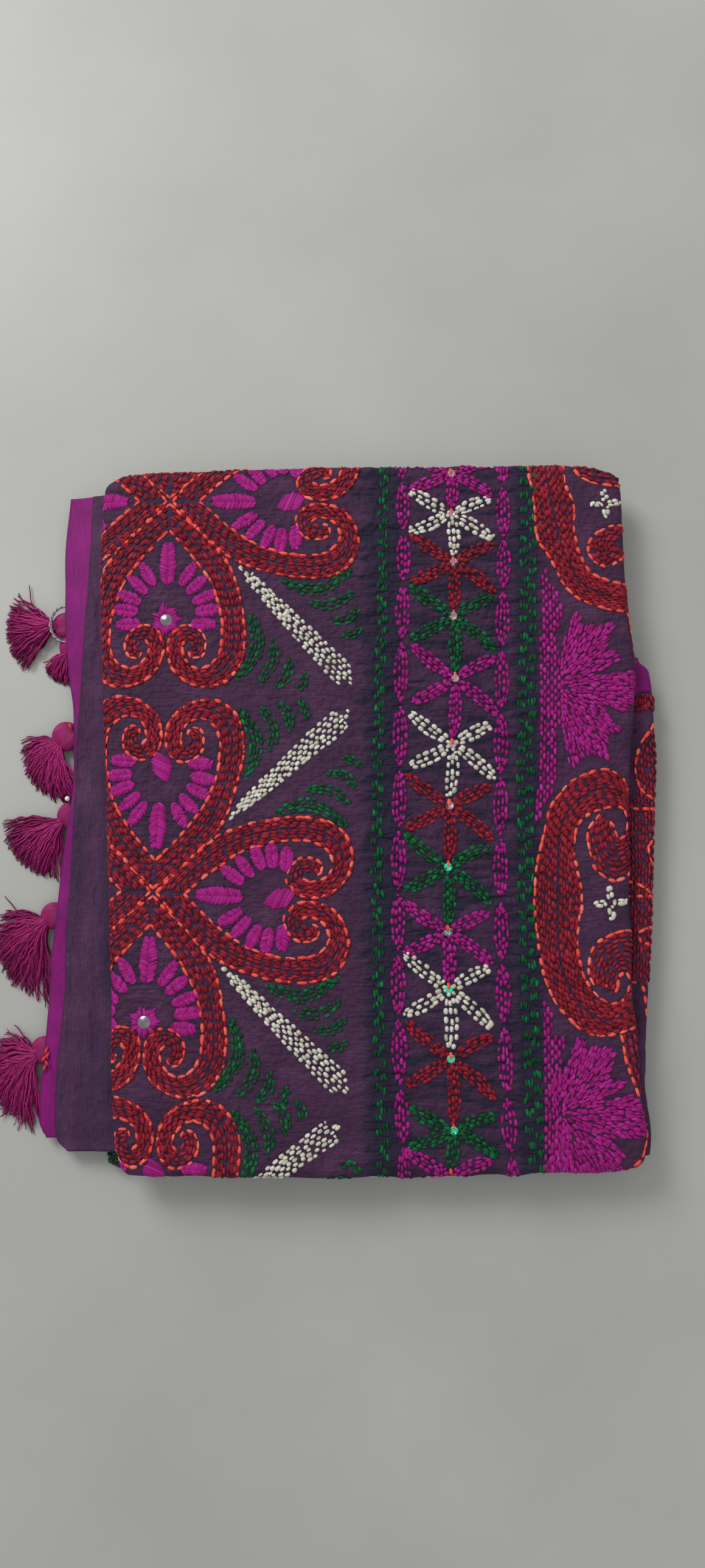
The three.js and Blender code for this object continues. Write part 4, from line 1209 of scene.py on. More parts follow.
@dataclass
class Pattern:
    """The whole pattern: rosettes of hearts, clubs and leaves, lines, stars, scrolls and lotuses."""

    rosettes: tuple = ((-134.2, 219.5, -1.8), (-146.0, -48.0, -4.0), (-150.4, -310.9, -3.0))
    lengths: tuple = (131.0, 131.0, 132.0)
    stars: tuple = ((59.8, 234, "MAGENTA"), (58.8, 205, "IVORY"), (59.1, 171, "RED"), (57.4, 133, "GREEN"),
                    (57.3, 90, "MAGENTA"), (54, 45.5, "IVORY"), (50.7, 4.4, "RED"), (48.3, -36, "GREEN"),
                    (46.9, -78, "MAGENTA"), (46, -115, "IVORY"), (46.1, -159, "RED"), (46.5, -204, "GREEN"),
                    (43.7, -232, "MAGENTA"))
    clubs: tuple = (((-86.9, 172), (-10.5, 87)), ((-95.7, -0.9), (-13.9, 69.7)),
                    ((-100.7, -97.6), (-18.9, -180.2)), ((-104.0, -252), (-26.0, -199)))
    crescents: tuple = ((77, 56.5, 102, 62.5, 126, 49, 7.4), (96, 72, 112.5, 73, 128, 63.5, 6.0),
                        (110, 84, 122, 83, 131, 75, 5.4), (119, 94.5, 126.5, 93.5, 133, 89.5, 4.6))
    left_line: tuple = ((14.5, 250), (13, 225), (8.5, 120), (3, 15), (1.2, -60), (0.2, -143), (1.5, -250))
    right_line: tuple = ((113, 250), (112, 222), (107, 120), (100.8, 13), (98.5, -70), (97.7, -145),
                         (99.5, -250))
    left_chain: tuple = ((26, 250), (25.4, 182), (21, 90), (17, -5), (14, -90), (13, -162), (14.5, -250))
    right_chain: tuple = ((95, 250), (93.3, 180), (88.5, 90), (83.8, -7), (81.5, -90), (81.3, -183),
                          (84, -250))
    mirrors: list = field(default_factory=list)

    def sew(self, work: Needlework) -> None:
        """Sews everything in its order from the left to the right."""
        self.hearts(work)
        self.fans(work)
        self.lines(work)
        self.star_column(work)
        self.upper_scroll(work)
        self.middle_scroll(work)
        for lotus in LOTUSES:
            self.lotus(work, *lotus)

    def hearts(self, work: Needlework) -> None:
        """Four hearts to each rosette, those along the fabric with a mirror in the right places."""
        for (x, y, tilt), long in zip(self.rosettes, self.lengths):
            for turn in (0, 90, 180, 270):
                heart = Heart((x, y), turn + tilt, long, mirror=turn in (180, 270))
                heart.sew(work)
                if heart.mirror:
                    self.mirrors.append(heart.hub())

    def fans(self, work: Needlework) -> None:
        """An ivory club between two hearts, with green crescents on both sides of it."""
        for start, end in self.clubs:
            spine = path_through([start, ((start[0] + end[0]) / 2 - 0.5, (start[1] + end[1]) / 2), end], 24)
            work.leaf(Thread.IVORY, spine, 15.6, 6, 4.1, 1.4, 2.6, thick_end=1.0)
        for x, y, tilt in self.rosettes:
            turn = math.radians(tilt)
            ahead = np.array([math.cos(turn), math.sin(turn)])
            up = np.array([-ahead[1], ahead[0]])
            for a0, b0, a1, b1, a2, b2, wide in self.crescents:
                for swap in (False, True):
                    for sign in (1, -1):
                        p = np.array([(a0, b0), (a1, b1), (a2, b2)])[:, ::-1 if swap else 1]
                        p = np.array([x, y]) + np.outer(p[:, 0], ahead) + np.outer(p[:, 1] * sign, up)
                        rows = 4 if wide > 7 else 3
                        work.leaf(Thread.GREEN, path_through(p, 12), wide, rows, 4.4, 0.9, 2.5, blunt=0.6)

    def lines(self, work: Needlework) -> None:
        """Pairs of green rows in clumps, and the chains of magenta almonds beside them."""
        for points, side in ((self.left_line, 1), (self.right_line, -1)):
            self.clumps(work, path_through(points, 30), side)
        for points, ends in ((self.left_chain, self.joints(-1)), (self.right_chain, self.joints(1))):
            path = path_through(points, 30)
            read = Curve(path[::-1][:: max(len(path) // 60, 1), ::-1])
            for top, bottom in zip(ends, ends[1:]):
                y = np.linspace(top - 1.2, bottom + 1.2, 20)
                work.leaf(Thread.MAGENTA, np.stack([read(y), y], 1), 8.4, 4, 4.6, 1.2, 2.5, blunt=0.7)

    def clumps(self, work: Needlework, path: Array, side: int) -> None:
        """Clumps of two or three upright green stitches, left and right of a line in turn."""
        gone, at = along(path)
        places = np.arange(4, gone[-1] - 4, 4.9)
        places = places + work.rng.normal(0, 0.7, len(places))
        wide, each = (1.7, (-0.5, 0.5)) if side > 0 else (2.9, (-1, 0, 1))
        out = np.where(np.arange(len(places)) % 2, wide, -wide) + work.rng.normal(0, 0.5, len(places))
        across = at(places + 1) - at(places - 1)
        across = np.stack([-across[:, 1], across[:, 0]], 1) / np.hypot(*across.T)[:, None]
        for k in each:
            slip, lean = work.rng.normal(0, 0.7, len(places)), work.rng.normal(0, 0.35, (len(places), 1))
            half = work.rng.uniform(2.1, 3.1, len(places))
            side_by = across * (out + 1.75 * k)[:, None]
            work.add(Thread.GREEN, at(places + slip - half) + side_by - across * lean,
                     at(places + slip + half) + side_by + across * lean, 2.3)

    def joints(self, side: int) -> list[float]:
        """Heights where one almond of a chain ends and the next starts, level with the stars' tips."""
        middle = [(a[1] + b[1]) / 2 for a, b in zip(self.stars, self.stars[1:])]
        return [258.0, 227.0 - 3 * side] + [y - 3.5 * side + 2 for y in middle[1:]] + [-262.0]

    def star_column(self, work: Needlework) -> None:
        """Half stars one below another: two arms up, two down, and one to the next star's middle."""
        for (x, y, colour), (below_x, below_y, _) in zip(self.stars, self.stars[1:] + ((43.0, -264, ""),)):
            thread, centre = Thread[colour], np.array([x, y])
            drop = y - below_y
            arms = ((-29, 0.55 * drop), (28, 0.31 * drop), (-30, -0.35 * drop), (28, -0.59 * drop),
                    (below_x - x, 4.5 - drop))
            for dx, dy in arms:
                far = np.array([dx, dy])
                bow = np.array([-dy, dx]) * 0.03
                spine = path_through([centre + far * 0.04, centre + far * 0.55 + bow, centre + far], 12)
                rows, gap, wide = (3, 0.9, 2.9) if thread is Thread.IVORY else (4, 0.6, 2.7)
                work.leaf(thread, spine, 7.0, rows, 4.4, gap, wide, blunt=0.5)

    def band(self, work: Needlework, outer: list, inner: list, rows: int) -> None:
        """A scroll's band: orange along both edges, dark red rows between."""
        a, b = [path_through(p, 12) for p in (outer, inner)]
        for edge in (a, b):
            work.run(Thread.ORANGE, edge, 6.4, 1.0, 2.55)
        a, b = [self.even(p) for p in (a, b)]
        for start, end in ((0.0, 0.48), (0.52, 1.0)) if rows > 8 else ((0.0, 1.0),):
            count = round(rows * (end - start))
            work.fill(Thread.RED, mix(a, b, start), mix(a, b, end), count, 5.2, 0.7, 2.7, margin=0.1)

    @staticmethod
    def even(path: Array, count: int = 160) -> Array:
        """The path read at a number of places, evenly in the number of its sample."""
        at = np.linspace(0, len(path) - 1, count)
        return np.stack([np.interp(at, np.arange(len(path)), path[:, k]) for k in (0, 1)], 1)

    def disc(self, work: Needlework, edge: list, middle: tuple[float, float]) -> None:
        """A scroll's head: an orange edge that winds in, with dark red rows inside it."""
        path = path_through(edge, 12)
        work.run(Thread.ORANGE, path, 5.4, 1.0, 2.4)
        for f in (0.12, 0.24, 0.36, 0.48, 0.6, 0.72, 0.84):
            work.run(Thread.RED, mix(path, np.array(middle), f), 4.6, 0.9, 2.5)

    def flower(self, work: Needlework, centre: tuple[float, float], long: float) -> None:
        """A little ivory flower of four pointed petals, each of two rows of short stitches."""
        for a in np.radians([93, 3, 273, 183]):
            far = np.array([math.cos(a), math.sin(a)])
            spine = np.array(centre) + np.linspace(0.06, 1.0, 12)[:, None] * long * far
            work.leaf(Thread.IVORY, spine, 3.0, 2, 4.0, 0.3, 2.9, blunt=0.7)

    def upper_scroll(self, work: Needlework) -> None:
        """The scroll that comes over the top fold and runs out to the right."""
        outer = [(112, 262), (112, 244), (113.3, 227), (114.7, 219.5), (115.3, 204), (117.3, 182),
                 (122, 176.5), (127.3, 165.5), (132, 155), (140.5, 145), (150.5, 139), (161, 135.2),
                 (174.4, 133), (188, 131)]
        inner = [(136, 262), (136, 244), (136.5, 229), (137.2, 222), (140.5, 215), (142.5, 207),
                 (141.2, 194.6), (142.5, 182), (144.5, 173.8), (149.2, 163), (157, 157.2), (166.4, 153.4),
                 (175, 152.3), (188, 151)]
        head = [(182, 196), (174.4, 194), (166.4, 193.2), (157, 189), (151.2, 182), (150.5, 173.8),
                (155.8, 167.6), (163, 164.8), (170, 168), (175, 173), (180, 176)]
        self.band(work, outer, inner, 14)
        self.disc(work, head, (166, 180))
        self.flower(work, (163.9, 209.5), 10.5)
        self.band(work, [(143.8, 234.7), (147.8, 229), (157, 224.3), (171.7, 222.3), (186, 222)],
                  [(144, 242), (150, 245), (160, 246), (172, 246), (186, 246)], 6)
        tail = [(174.4, 133.6), (176.4, 126.7), (178.3, 115.6), (181.7, 103), (185, 90)]
        work.run(Thread.ORANGE, path_through(tail, 12), 5.4, 1.4, 2.1)

    def middle_scroll(self, work: Needlework) -> None:
        """The large C-shaped scroll with a head at each end, a flower between, and what trails below it."""
        outer = [(176, -3), (170.5, 11.4), (165.6, 20.4), (158.6, 25.6), (150.6, 26.5), (142.4, 23.4),
                 (132.1, 19.2), (125.8, 12.5), (117.3, 2.5), (111.6, -17.5), (106.5, -36), (104.1, -58),
                 (104.6, -78), (106.3, -96), (108.8, -110), (115.5, -126.1), (122.9, -135.2),
                 (130.4, -142.7), (138.1, -145.9), (145.8, -146.8), (155.7, -145.1), (168, -140)]
        inner = [(168.5, -6), (167.2, -1.5), (164.2, 1.4), (157.4, 1.4), (149.3, -0.3), (143.1, -2.9),
                 (136.9, -7.2), (133.5, -12), (131.2, -20), (131, -32), (134, -46), (135, -60),
                 (132, -73.7), (130.5, -86), (131.2, -98), (134, -109), (137.8, -116.5), (143.1, -122.8),
                 (150.8, -126.9), (156.7, -125.9), (160.9, -121.3), (163.4, -112.6)]
        upper_head = ([(150, -3), (144, -10.6), (140.5, -16.2), (140.9, -24.2), (142.5, -32.3),
                       (145.3, -40.3), (150.2, -45.2), (156.8, -47.8), (164, -45.6), (171, -40)],
                      [(154.5, -8), (157.4, -9), (158.9, -12), (159.6, -17.8), (161, -20), (163, -20.7),
                       (165, -19), (166.5, -16), (167.6, -12), (168.4, -7)])
        lower_head = ([(176, -80), (167, -80.4), (161.1, -79.6), (153.1, -82.1), (146, -85.6),
                       (140.8, -89.6), (138.2, -95.5), (137.2, -103.3), (137.6, -109.1), (141, -116)],
                      [(163.4, -112), (162.9, -107.7), (159.7, -106.3), (156.9, -107.6), (156, -110.5),
                       (155.8, -113.4), (155, -118), (153, -119.6), (149.4, -116), (145.6, -113.4)])
        self.band(work, outer, inner, 14)
        self.band(work, *upper_head, 8)
        self.band(work, *lower_head, 8)
        self.flower(work, (153.6, -61.6), 11.5)
        self.band(work, [(155.7, -146), (157, -151), (157.8, -159.8), (159.6, -168.2), (161.9, -175.1),
                         (165.5, -186)],
                  [(172, -140), (173, -150), (174, -160), (175, -168), (176, -175), (177, -186)], 5)
        tail = [(172, -205), (167.8, -217.1), (164.7, -224.6), (160.3, -228.3), (150, -240)]
        work.run(Thread.ORANGE, path_through(tail), 6.0, 1.0, 2.5)

    def lotus(self, work: Needlework, hub: tuple, petals: tuple, strip: tuple) -> None:
        """Half a lotus, sewn in rings outwards from its hub, and a stepped strip before it.

        Args:
            work: takes the stitches.
            hub: the middle of the rings.
            petals, strip: the outlines that the stitches stay in.
        """
        edge = np.array(petals, float)
        for ring in np.arange(2.5, 72.0, 3.8):
            count = int(math.pi * ring / 1.5)
            a = np.radians(np.linspace(-104, 104, count) + work.rng.uniform(-0.4, 0.4, count) * 208 / count)
            start = ring + work.rng.uniform(-1.2, 1.2, (count, 1))
            way = np.stack([np.cos(a), np.sin(a)], 1)
            near, far = hub + way * start, hub + way * (start + 5.2)
            keep = inside((near + far) / 2, edge)
            work.add(Thread.MAGENTA, near[keep], far[keep], 2.5)
        outline = np.array(strip, float)
        left = outline[:, 0].min()
        for k, x in enumerate(np.arange(left + 0.6, left + 26, 2.3)):
            start = 170 if hub[1] > 0 else -118
            path = path_through([(x + 5, start), (x + 3, hub[1]), (x - 2, hub[1] - 96)], 30)
            work.run(Thread.MAGENTA, path, 4.8, 1.1, 2.7, shift=0.5 * (k % 2), within=outline)


# ---- mirrors, sequins and tassels ----------------------------------------------------------


@dataclass(frozen=True)
class Glint:
    """A small shining trim: shisha mirror glass, a pearl or iridescent plastic sequin,
    a glass bead, or silvered thread."""

    name: str
    colour: str
    roughness: float
    metallic: float = 0.0
    coat: float = 0.0

    def make(self) -> bpy.types.Material:
        """A bright smooth surface with a faint unevenness, as in hand-cut glass or pressed film."""
        material, tree = new_material(self.name)
        place = node(tree, "TexCoord").outputs["Object"]
        uneven = node(tree, "TexNoise", {"Vector": place, "Scale": 420.0, "Detail": 1.0}).outputs[0]
        bump = node(tree, "Bump", {"Height": uneven, "Strength": 0.2, "Distance": 0.2 * MM}).outputs[0]
        surface(tree, Base_Color=linear(self.colour), Roughness=self.roughness, Metallic=self.metallic,
                Coat_Weight=self.coat, Normal=bump)
        return material


MIRROR_GLASS = Glint("silvered mirror glass, dulled", "#8f858c", 0.3, metallic=0.8)
PEARL_SEQUIN = Glint("pearl sequin", "#a88890", 0.2, coat=0.5)
PEARL_BEAD = Glint("clear glass bead", "#e6e8e4", 0.12, coat=0.6)
SILVERED_THREAD = Glint("silvered thread", "#a898a4", 0.35, metallic=0.6)
GREEN_SEQUIN = Glint("iridescent green sequin", "#28d89c", 0.2, metallic=0.2, coat=0.5)
CORAL_THREAD = Floss("coral cotton thread", "#d8404c", "#a82838", "#f06a68")
TASSEL_SILK = Floss("magenta viscose thread", "#8e125a", "#5a083a", "#b02a74", roughness=0.45, sheen=0.08)


def disc(centre: Array, radii: tuple, heights: tuple, lay: Lay, around: int = 20) -> tuple[Array, Array]:
    """A small turned form: rings of the given radii and heights, closed at both ends.

    Args:
        centre: its place in the pattern.
        radii, heights: of each ring, from the underside round to the top.
        lay: puts pattern places on the cloth.
        around: points to a ring.

    Returns:
        Points and triangles.
    """
    turn = np.tile(np.linspace(0, TAU, around, endpoint=False), len(radii))
    r = np.repeat(radii, around)
    rings = lay(centre[0] + r * np.cos(turn), centre[1] + r * np.sin(turn), np.repeat(heights, around))
    ends = lay(*[np.full(2, c) for c in centre], np.array([heights[0], heights[-1]]))
    return closed_rings(rings.reshape(len(radii), around, 3), ends)


def globe(rows: int, around: int) -> tuple[Array, Array]:
    """The angles from the pole and round it, for each point of a round form's grid."""
    turn = np.linspace(0, TAU, around, endpoint=False)
    return np.meshgrid(np.linspace(0, math.pi, rows), turn, indexing="ij")


def spun(path: Array, radius: Array, sides: int = 3) -> tuple[Array, Array]:
    """Threads as thin prisms, each carried along its own path.

    Args:
        path: (threads, stations, 3) middles.
        radius: (stations,) of the thread.
        sides: of the prism.

    Returns:
        Points and triangles, closed at both ends by a triangle.
    """
    many, long, _ = path.shape
    ahead = np.gradient(path, axis=1)
    ahead /= np.linalg.norm(ahead, axis=2, keepdims=True) + 1e-9
    side = np.cross(ahead, [0, 0, 1.0])
    side /= np.linalg.norm(side, axis=2, keepdims=True) + 1e-9
    up = np.cross(side, ahead)
    turn = (np.linspace(0, TAU, sides, endpoint=False) + 0.5)[None, None, :, None]
    ring = path[:, :, None] + radius[None, :, None, None] * (
        side[:, :, None] * np.cos(turn) + up[:, :, None] * np.sin(turn))
    last = (long - 1) * sides
    caps = np.array([[0, 2, 1], [last, last + 1, last + 2]])
    one = np.concatenate([split(grid_faces(long, sides, closed=True)), caps])
    return ring.reshape(-1, 3), copies(one, many, long * sides)


@dataclass
class Trim:
    """Mirrors in the flowers and a sequin at the middle of every star."""

    pattern: Pattern
    top: TopRun
    mirror_rings: tuple = ((4.3, 4.4, 4.0, 0.1), (-0.2, 0.5, 0.85, 0.9))  # radii, heights
    sequin_rings: tuple = ((2.6, 2.7, 2.0, 0.5), (0.6, 0.9, 0.75, 0.35))
    pearl_above: float = -20.0  # y from which the sequins are pearl, and below which green

    def build(self) -> list[Piece]:
        """Makes the mirrors, the pearl sequins above and the green ones below."""
        stars = [star[:2] for star in self.pattern.stars]
        upper = [s for s in stars if s[1] > self.pearl_above]
        lower = [s for s in stars if s[1] <= self.pearl_above]
        groups = (
            ("mirrors", MIRROR_GLASS, self.pattern.mirrors, self.mirror_rings),
            ("pearl_sequins", PEARL_SEQUIN, upper, self.sequin_rings),
            ("green_sequins", GREEN_SEQUIN, lower, self.sequin_rings),
        )
        made = []
        for name, finish, places, rings in groups:
            parts = [disc(np.array(p), *rings, self.top.lay) for p in places if self.top.faces_up(*p)]
            made.append(dress(mesh_object(name, *joined(parts)), finish.make()))
        return made

    def tacks(self, work: Needlework) -> None:
        """An orange stitch from the middle of each sequin up over its edge."""
        for x, y, _ in self.pattern.stars:
            work.add(Thread.ORANGE, np.array([[x + 0.2, y - 0.6]]), np.array([[x - 0.3, y + 4.8]]), 2.6)


@dataclass
class Tassel:
    """One tassel that lies on the floor: a tie, a ridged head, a binding, and a fan of threads.

    Its own frame runs ahead, the way it aims, and across, from its head's middle at x and y.
    """

    number: int
    x: float
    y: float
    aim: float  # degrees from +x
    spread: float  # degrees that the fan opens
    near: float  # lengths of the fan at its two sides
    far: float
    threads: int = 290
    head: tuple[float, float, float] = (9.2, 9.2, 4.2)
    middle_z: float = 4.3
    thread: float = 0.58  # radius; real ones are finer, and a head holds more of them
    locks: int = 44
    bend: float = 9.0
    stray: float = 0.06  # share of the threads that leave their lock

    def place(self, ahead: Array | float, across: Array, z: Array) -> Array:
        """Points of its own frame, in the row's."""
        a = math.radians(self.aim)
        x = self.x + ahead * math.cos(a) - across * math.sin(a)
        return np.stack([x, self.y + ahead * math.sin(a) + across * math.cos(a), z], -1)

    def skirt(self, rng: np.random.Generator) -> tuple[Array, Array, Array]:
        """Threads that leave the head in locks and layers, fan out crimped, and settle on the floor."""
        n = self.threads
        t = np.linspace(0, 1, 22)
        lock = rng.integers(0, self.locks, n)
        of_lock = lambda values: values[lock]
        own = rng.uniform(0, 1, n)
        share = mix(own, of_lock(rng.uniform(-0.03, 1.03, self.locks)), 0.5)
        layer = np.clip(of_lock(rng.uniform(0, 1, self.locks)) + rng.normal(0, 0.12, n), 0, 1)
        start = np.radians(self.aim + self.spread * 0.45 * (share - 0.5))
        fan = np.radians(self.aim + self.spread * (share - 0.5))
        reach = mix(self.near, self.far, share) * (1 - 0.16 * rng.uniform(0, 1, n) ** 2) * (1 - 0.08 * layer)
        stray = rng.uniform(0, 1, n) < self.stray
        curl = np.radians(self.bend) + of_lock(rng.normal(0, 0.1, self.locks)) + stray * rng.normal(0, 0.3, n)
        out = mix(2.0, reach[:, None], t[None, :])
        angle = mix(start[:, None], fan[:, None], smooth(t * 1.8)[None, :]) + curl[:, None] * t[None, :] ** 2
        phase = of_lock(rng.uniform(0, TAU, self.locks))[:, None] + rng.normal(0, 0.5, (n, 1))
        crimp = np.sin(out * TAU / of_lock(rng.uniform(9.0, 16.0, self.locks))[:, None] + phase)
        angle = angle + crimp * rng.uniform(0.25, 0.75, (n, 1)) / np.maximum(out, 6) * smooth(t * 3)
        root_z, tip_z = mix(1.6, 7.0, layer), mix(0.6, 3.6, layer**1.4)
        arch = 1.3 * (layer[:, None] * np.sin(math.pi * t[None, :]))
        z = mix(root_z[:, None], tip_z[:, None], smooth(t / 0.85)[None, :]) + arch + 0.25 * crimp
        x, y = self.x + out * np.cos(angle), self.y + out * np.sin(angle)
        path = np.stack([x, y, np.maximum(z, self.thread)], -1)
        points, faces = spun(path, self.thread * mix(1.0, 0.6, t**4))
        # Each lock has a tone of its own; over it, painted shade and light: threads lying lower in the fan
        # are darker and higher ones lighter, the troughs of their crimps darker and the crests lighter; the
        # threads also darken towards their tips.
        shade = of_lock(rng.normal(0.5, 0.16, self.locks)) + rng.normal(0, 0.1, n) + 0.3 * (layer - 0.5)
        tone = np.clip(shade[:, None] + 0.1 * crimp - 0.35 * t**5, 0, 1)
        return points, faces, np.repeat(tone, 3, axis=1).ravel()

    def dome(self) -> tuple[Array, Array]:
        """The head: threads drawn over a knot, so it has fine ridges from its tie to its binding."""
        lat, lon = globe(14, 56)
        ridge = 1 + 0.02 * np.cos(lon * 14 + 2.5 * lat) * np.sin(lat)
        long, wide, high = self.head
        up = np.sin(lat) * np.sin(lon) * high * ridge
        across = np.sin(lat) * np.cos(lon) * wide * ridge
        grid = self.place(-np.cos(lat) * long, across, np.maximum(self.middle_z + up, 0.25))
        return closed_rings(grid[1:-1], grid[[0, -1], 0])

    def wraps(self) -> tuple[Array, Array]:
        """Turns of thread that bind the neck, wound side by side."""
        turn = np.linspace(0, TAU, 25)
        z = np.maximum(self.middle_z + 3.5 * np.sin(turn), 0.6)
        wide = lambda k: (5.9 - 0.3 * k) * np.cos(turn)
        loops = [self.place(ahead, wide(k), z) for k, ahead in enumerate((4.2, 5.2, 6.2))]
        return spun(np.array(loops), np.full(len(turn), 0.55))

    def tie(self, border: EndBorder) -> tuple[Array, Array]:
        """Two strands from the head up and in under the border."""
        under = lambda d: float(border.top(np.array(self.x + d), np.array(self.y))) - border.wall - 0.9
        strands = []
        for side in (-0.8, 0.8):
            x, y, z = np.array([(self.x, self.y, self.middle_z + 1.5),
                                (self.x + 4, self.y + side, self.middle_z + 1.6),
                                (self.x + 8, self.y + side, under(8)),
                                (self.x + 13, self.y + side, under(13))]).T
            fine = path_through(np.stack([x, y], 1), 4)
            rise = np.interp(np.linspace(0, 3, len(fine)), np.arange(4), z)
            strands.append(np.column_stack([fine, rise]))
        return spun(np.array(strands), np.full(len(fine), 0.6))

    def build(self, border: EndBorder) -> Piece:
        """Joins the tassel's forms into one piece, whose map runs out along the threads."""
        rng = np.random.default_rng(SEED + 100 + self.number)
        points, faces, tone = self.skirt(rng)
        others = [self.dome(), self.wraps(), self.tie(border)]
        all_points, all_faces = joined([(points, faces)] + others)
        tones = [tone] + [np.clip(0.5 + 0.12 * rng.normal(0, 1, len(p)), 0, 1) for p, _ in others]
        off = all_points - np.array([self.x, self.y, self.middle_z])
        uv = np.stack([np.hypot(off[:, 0], off[:, 1]), all_points[:, 2]], 1)
        a, head = math.radians(self.aim), slice(len(points), len(points) + len(others[0][0]))
        along = off[:, 0] * math.cos(a) + off[:, 1] * math.sin(a)
        across = off[:, 1] * math.cos(a) - off[:, 0] * math.sin(a)
        uv[head] = np.stack([along * 0.2, np.arctan2(off[:, 2], across) * 6.5], 1)[head]
        name = f"tassel_{self.number}"
        piece = mesh_object(name + "_threads", all_points, all_faces, uv=uv, tone=np.concatenate(tones))
        return dress(piece, TASSEL_SILK.make(), name)


TASSELS = (
    Tassel(1, -212.0, 141, 184, 78, 44, 44, bend=3),
    Tassel(2, -207.0, 125, 232, 64, 25, 28, threads=120, bend=4),
    Tassel(3, -210.5, 62, 222, 104, 33, 51, bend=16, head=(10.2, 10.4, 4.6), middle_z=4.8),
    Tassel(4, -207.5, 7, 216, 84, 50, 46),
    Tassel(5, -218.0, -61, 218, 104, 37, 66),
    Tassel(6, -223.5, -150, 208, 128, 31, 62),
)


@dataclass
class LooseThreads:
    """What hangs about the tassels: a silvered twist, a bead, and the knots that tie two of them on."""

    border: EndBorder
    neck: tuple[float, float, float] = (-211.5, 141.0, 7.2)
    bead: tuple[float, float, float] = (-208.6, 18.3, 8.5)
    bead_radius: float = 1.8
    knots: tuple = ((-206.5, 68), (-220.5, -150), (-219.5, -153), (-222, -155), (-220, -158), (-221.5, -161))
    knot_half: float = 2.4

    def twist(self) -> Piece:
        """Two strands wound about each other, looped round the first tassel's neck."""
        x, y, z = self.neck
        turn = np.linspace(-1.9, 1.9, 60)
        strands = [
            np.stack([x - 9.8 * np.cos(turn) + 0.75 * np.cos(turn * 9 + k), y + 12.5 * np.sin(turn),
                      z + 1.6 * np.cos(turn) + 0.75 * np.sin(turn * 9 + k)], 1)
            for k in (0.0, math.pi)
        ]
        piece = mesh_object("silvered_twist", *spun(np.array(strands), np.full(60, 0.62), sides=5))
        return dress(piece, SILVERED_THREAD.make())

    def ties(self) -> Piece:
        """Short thick ends that lie every way over one another, each bowed up in its middle."""
        rng = np.random.default_rng(SEED + 300)
        s = np.linspace(-1, 1, 9)
        ends = []
        for knot in self.knots:
            way = rng.uniform(0, TAU)
            at = np.array(knot) + s[:, None] * self.knot_half * np.array([math.cos(way), math.sin(way)])
            rest = np.maximum(self.border.top(np.maximum(at[:, 0], -216.0), at[:, 1]), 8.0)
            ends.append(np.column_stack([at, rest + 1.6 * np.cos(s * 1.5)]))
        points, faces = spun(np.array(ends), 1.0 * np.sin(np.linspace(0.35, 2.79, 9)), sides=5)
        piece = mesh_object("tassel_knots", points, faces, uv=points[:, :2], tone=np.full(len(points), 0.5))
        return dress(piece, CORAL_THREAD.make())

    def pearl(self) -> Piece:
        """The bead: a small ball."""
        lat, lon = globe(10, 16)
        r, (x, y, z) = self.bead_radius, self.bead
        ball = np.stack([np.sin(lat) * np.cos(lon) * r + x, np.sin(lat) * np.sin(lon) * r + y,
                         np.cos(lat) * r + z], -1)
        piece = mesh_object("tassel_bead", *closed_rings(ball[1:-1], ball[[0, -1], 0]))
        return dress(piece, PEARL_BEAD.make())

    def build(self) -> list[Piece]:
        """Makes the twist, the knots and the bead."""
        return [self.twist(), self.ties(), self.pearl()]


# ---- the room ------------------------------------------------------------------------------


@dataclass
class Studio:
    """A plain pale floor, soft light from the upper left, and the camera above the packet."""

    eye: tuple[float, float, float] = (-5.0, -81.5, 805.0)
    lens: float = 27.04
    sensor: float = 36.0

    def floor(self) -> None:
        """A wide plain sheet of matt stone, with a faint cloud in its colour."""
        bpy.ops.mesh.primitive_grid_add(x_subdivisions=2, y_subdivisions=2, size=6.0)
        floor = bpy.context.object
        floor.name = "floor"
        material, tree = new_material("matt floor")
        place = node(tree, "TexCoord").outputs["Object"]
        cloud = node(tree, "TexNoise", {"Vector": place, "Scale": 5.0, "Detail": 5.0}).outputs[0]
        surface(tree, Base_Color=shades(tree, cloud, "#a9a9a3", "#b4b4ae", ends=(0.3, 0.7)), Roughness=0.55)
        floor.data.materials.append(material)
        floor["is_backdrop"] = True

    def light(self, name: str, place: tuple, aim: tuple, size: float, watts: float, colour: str) -> None:
        """One soft square lamp."""
        lamp = bpy.data.lights.new(name, "AREA")
        lamp.size, lamp.energy, lamp.color = size, watts, linear(colour)[:3]
        holder = bpy.data.objects.new(name, lamp)
        bpy.context.scene.collection.objects.link(holder)
        holder.location = place
        holder.rotation_euler = (Vector(aim) - Vector(place)).to_track_quat("-Z", "Y").to_euler()

    def lights(self) -> None:
        """A large key high on the upper left, a weak fill, and an even room."""
        self.light("key", (-1.1, 1.45, 1.5), (0, 0.05, 0), 1.0, 34.0, "#ffffff")
        self.light("fill", (1.2, -1.4, 2.0), (0, 0, 0), 2.2, 5.0, "#fbfaff")
        world = bpy.data.worlds.new("room")
        world.use_nodes = True
        world.node_tree.nodes["Background"].inputs[0].default_value = linear("#e6e8ea")
        world.node_tree.nodes["Background"].inputs[1].default_value = 0.62
        bpy.context.scene.world = world
        bpy.context.scene.view_settings.view_transform = "Standard"

    def camera(self) -> None:
        """Looks down on the packet, leaning a little forward, along its own three axes."""
        data = bpy.data.cameras.new("camera")
        data.sensor_fit, data.lens = "VERTICAL", self.lens
        data.sensor_height = data.sensor_width = self.sensor
        camera = bpy.data.objects.new("camera", data)
        bpy.context.scene.collection.objects.link(camera)
        axes = Matrix(((0.9996, 0.0243, 0.0105), (-0.0228, 0.9912, -0.1308), (-0.0136, 0.1305, 0.9914)))
        place = (np.array(self.eye) + PLACE) * MM
        camera.matrix_world = Matrix.Translation(place.tolist()) @ axes.to_4x4()
        data.clip_start = 0.01
        bpy.context.scene.camera = camera


# ---- the whole -----------------------------------------------------------------------------


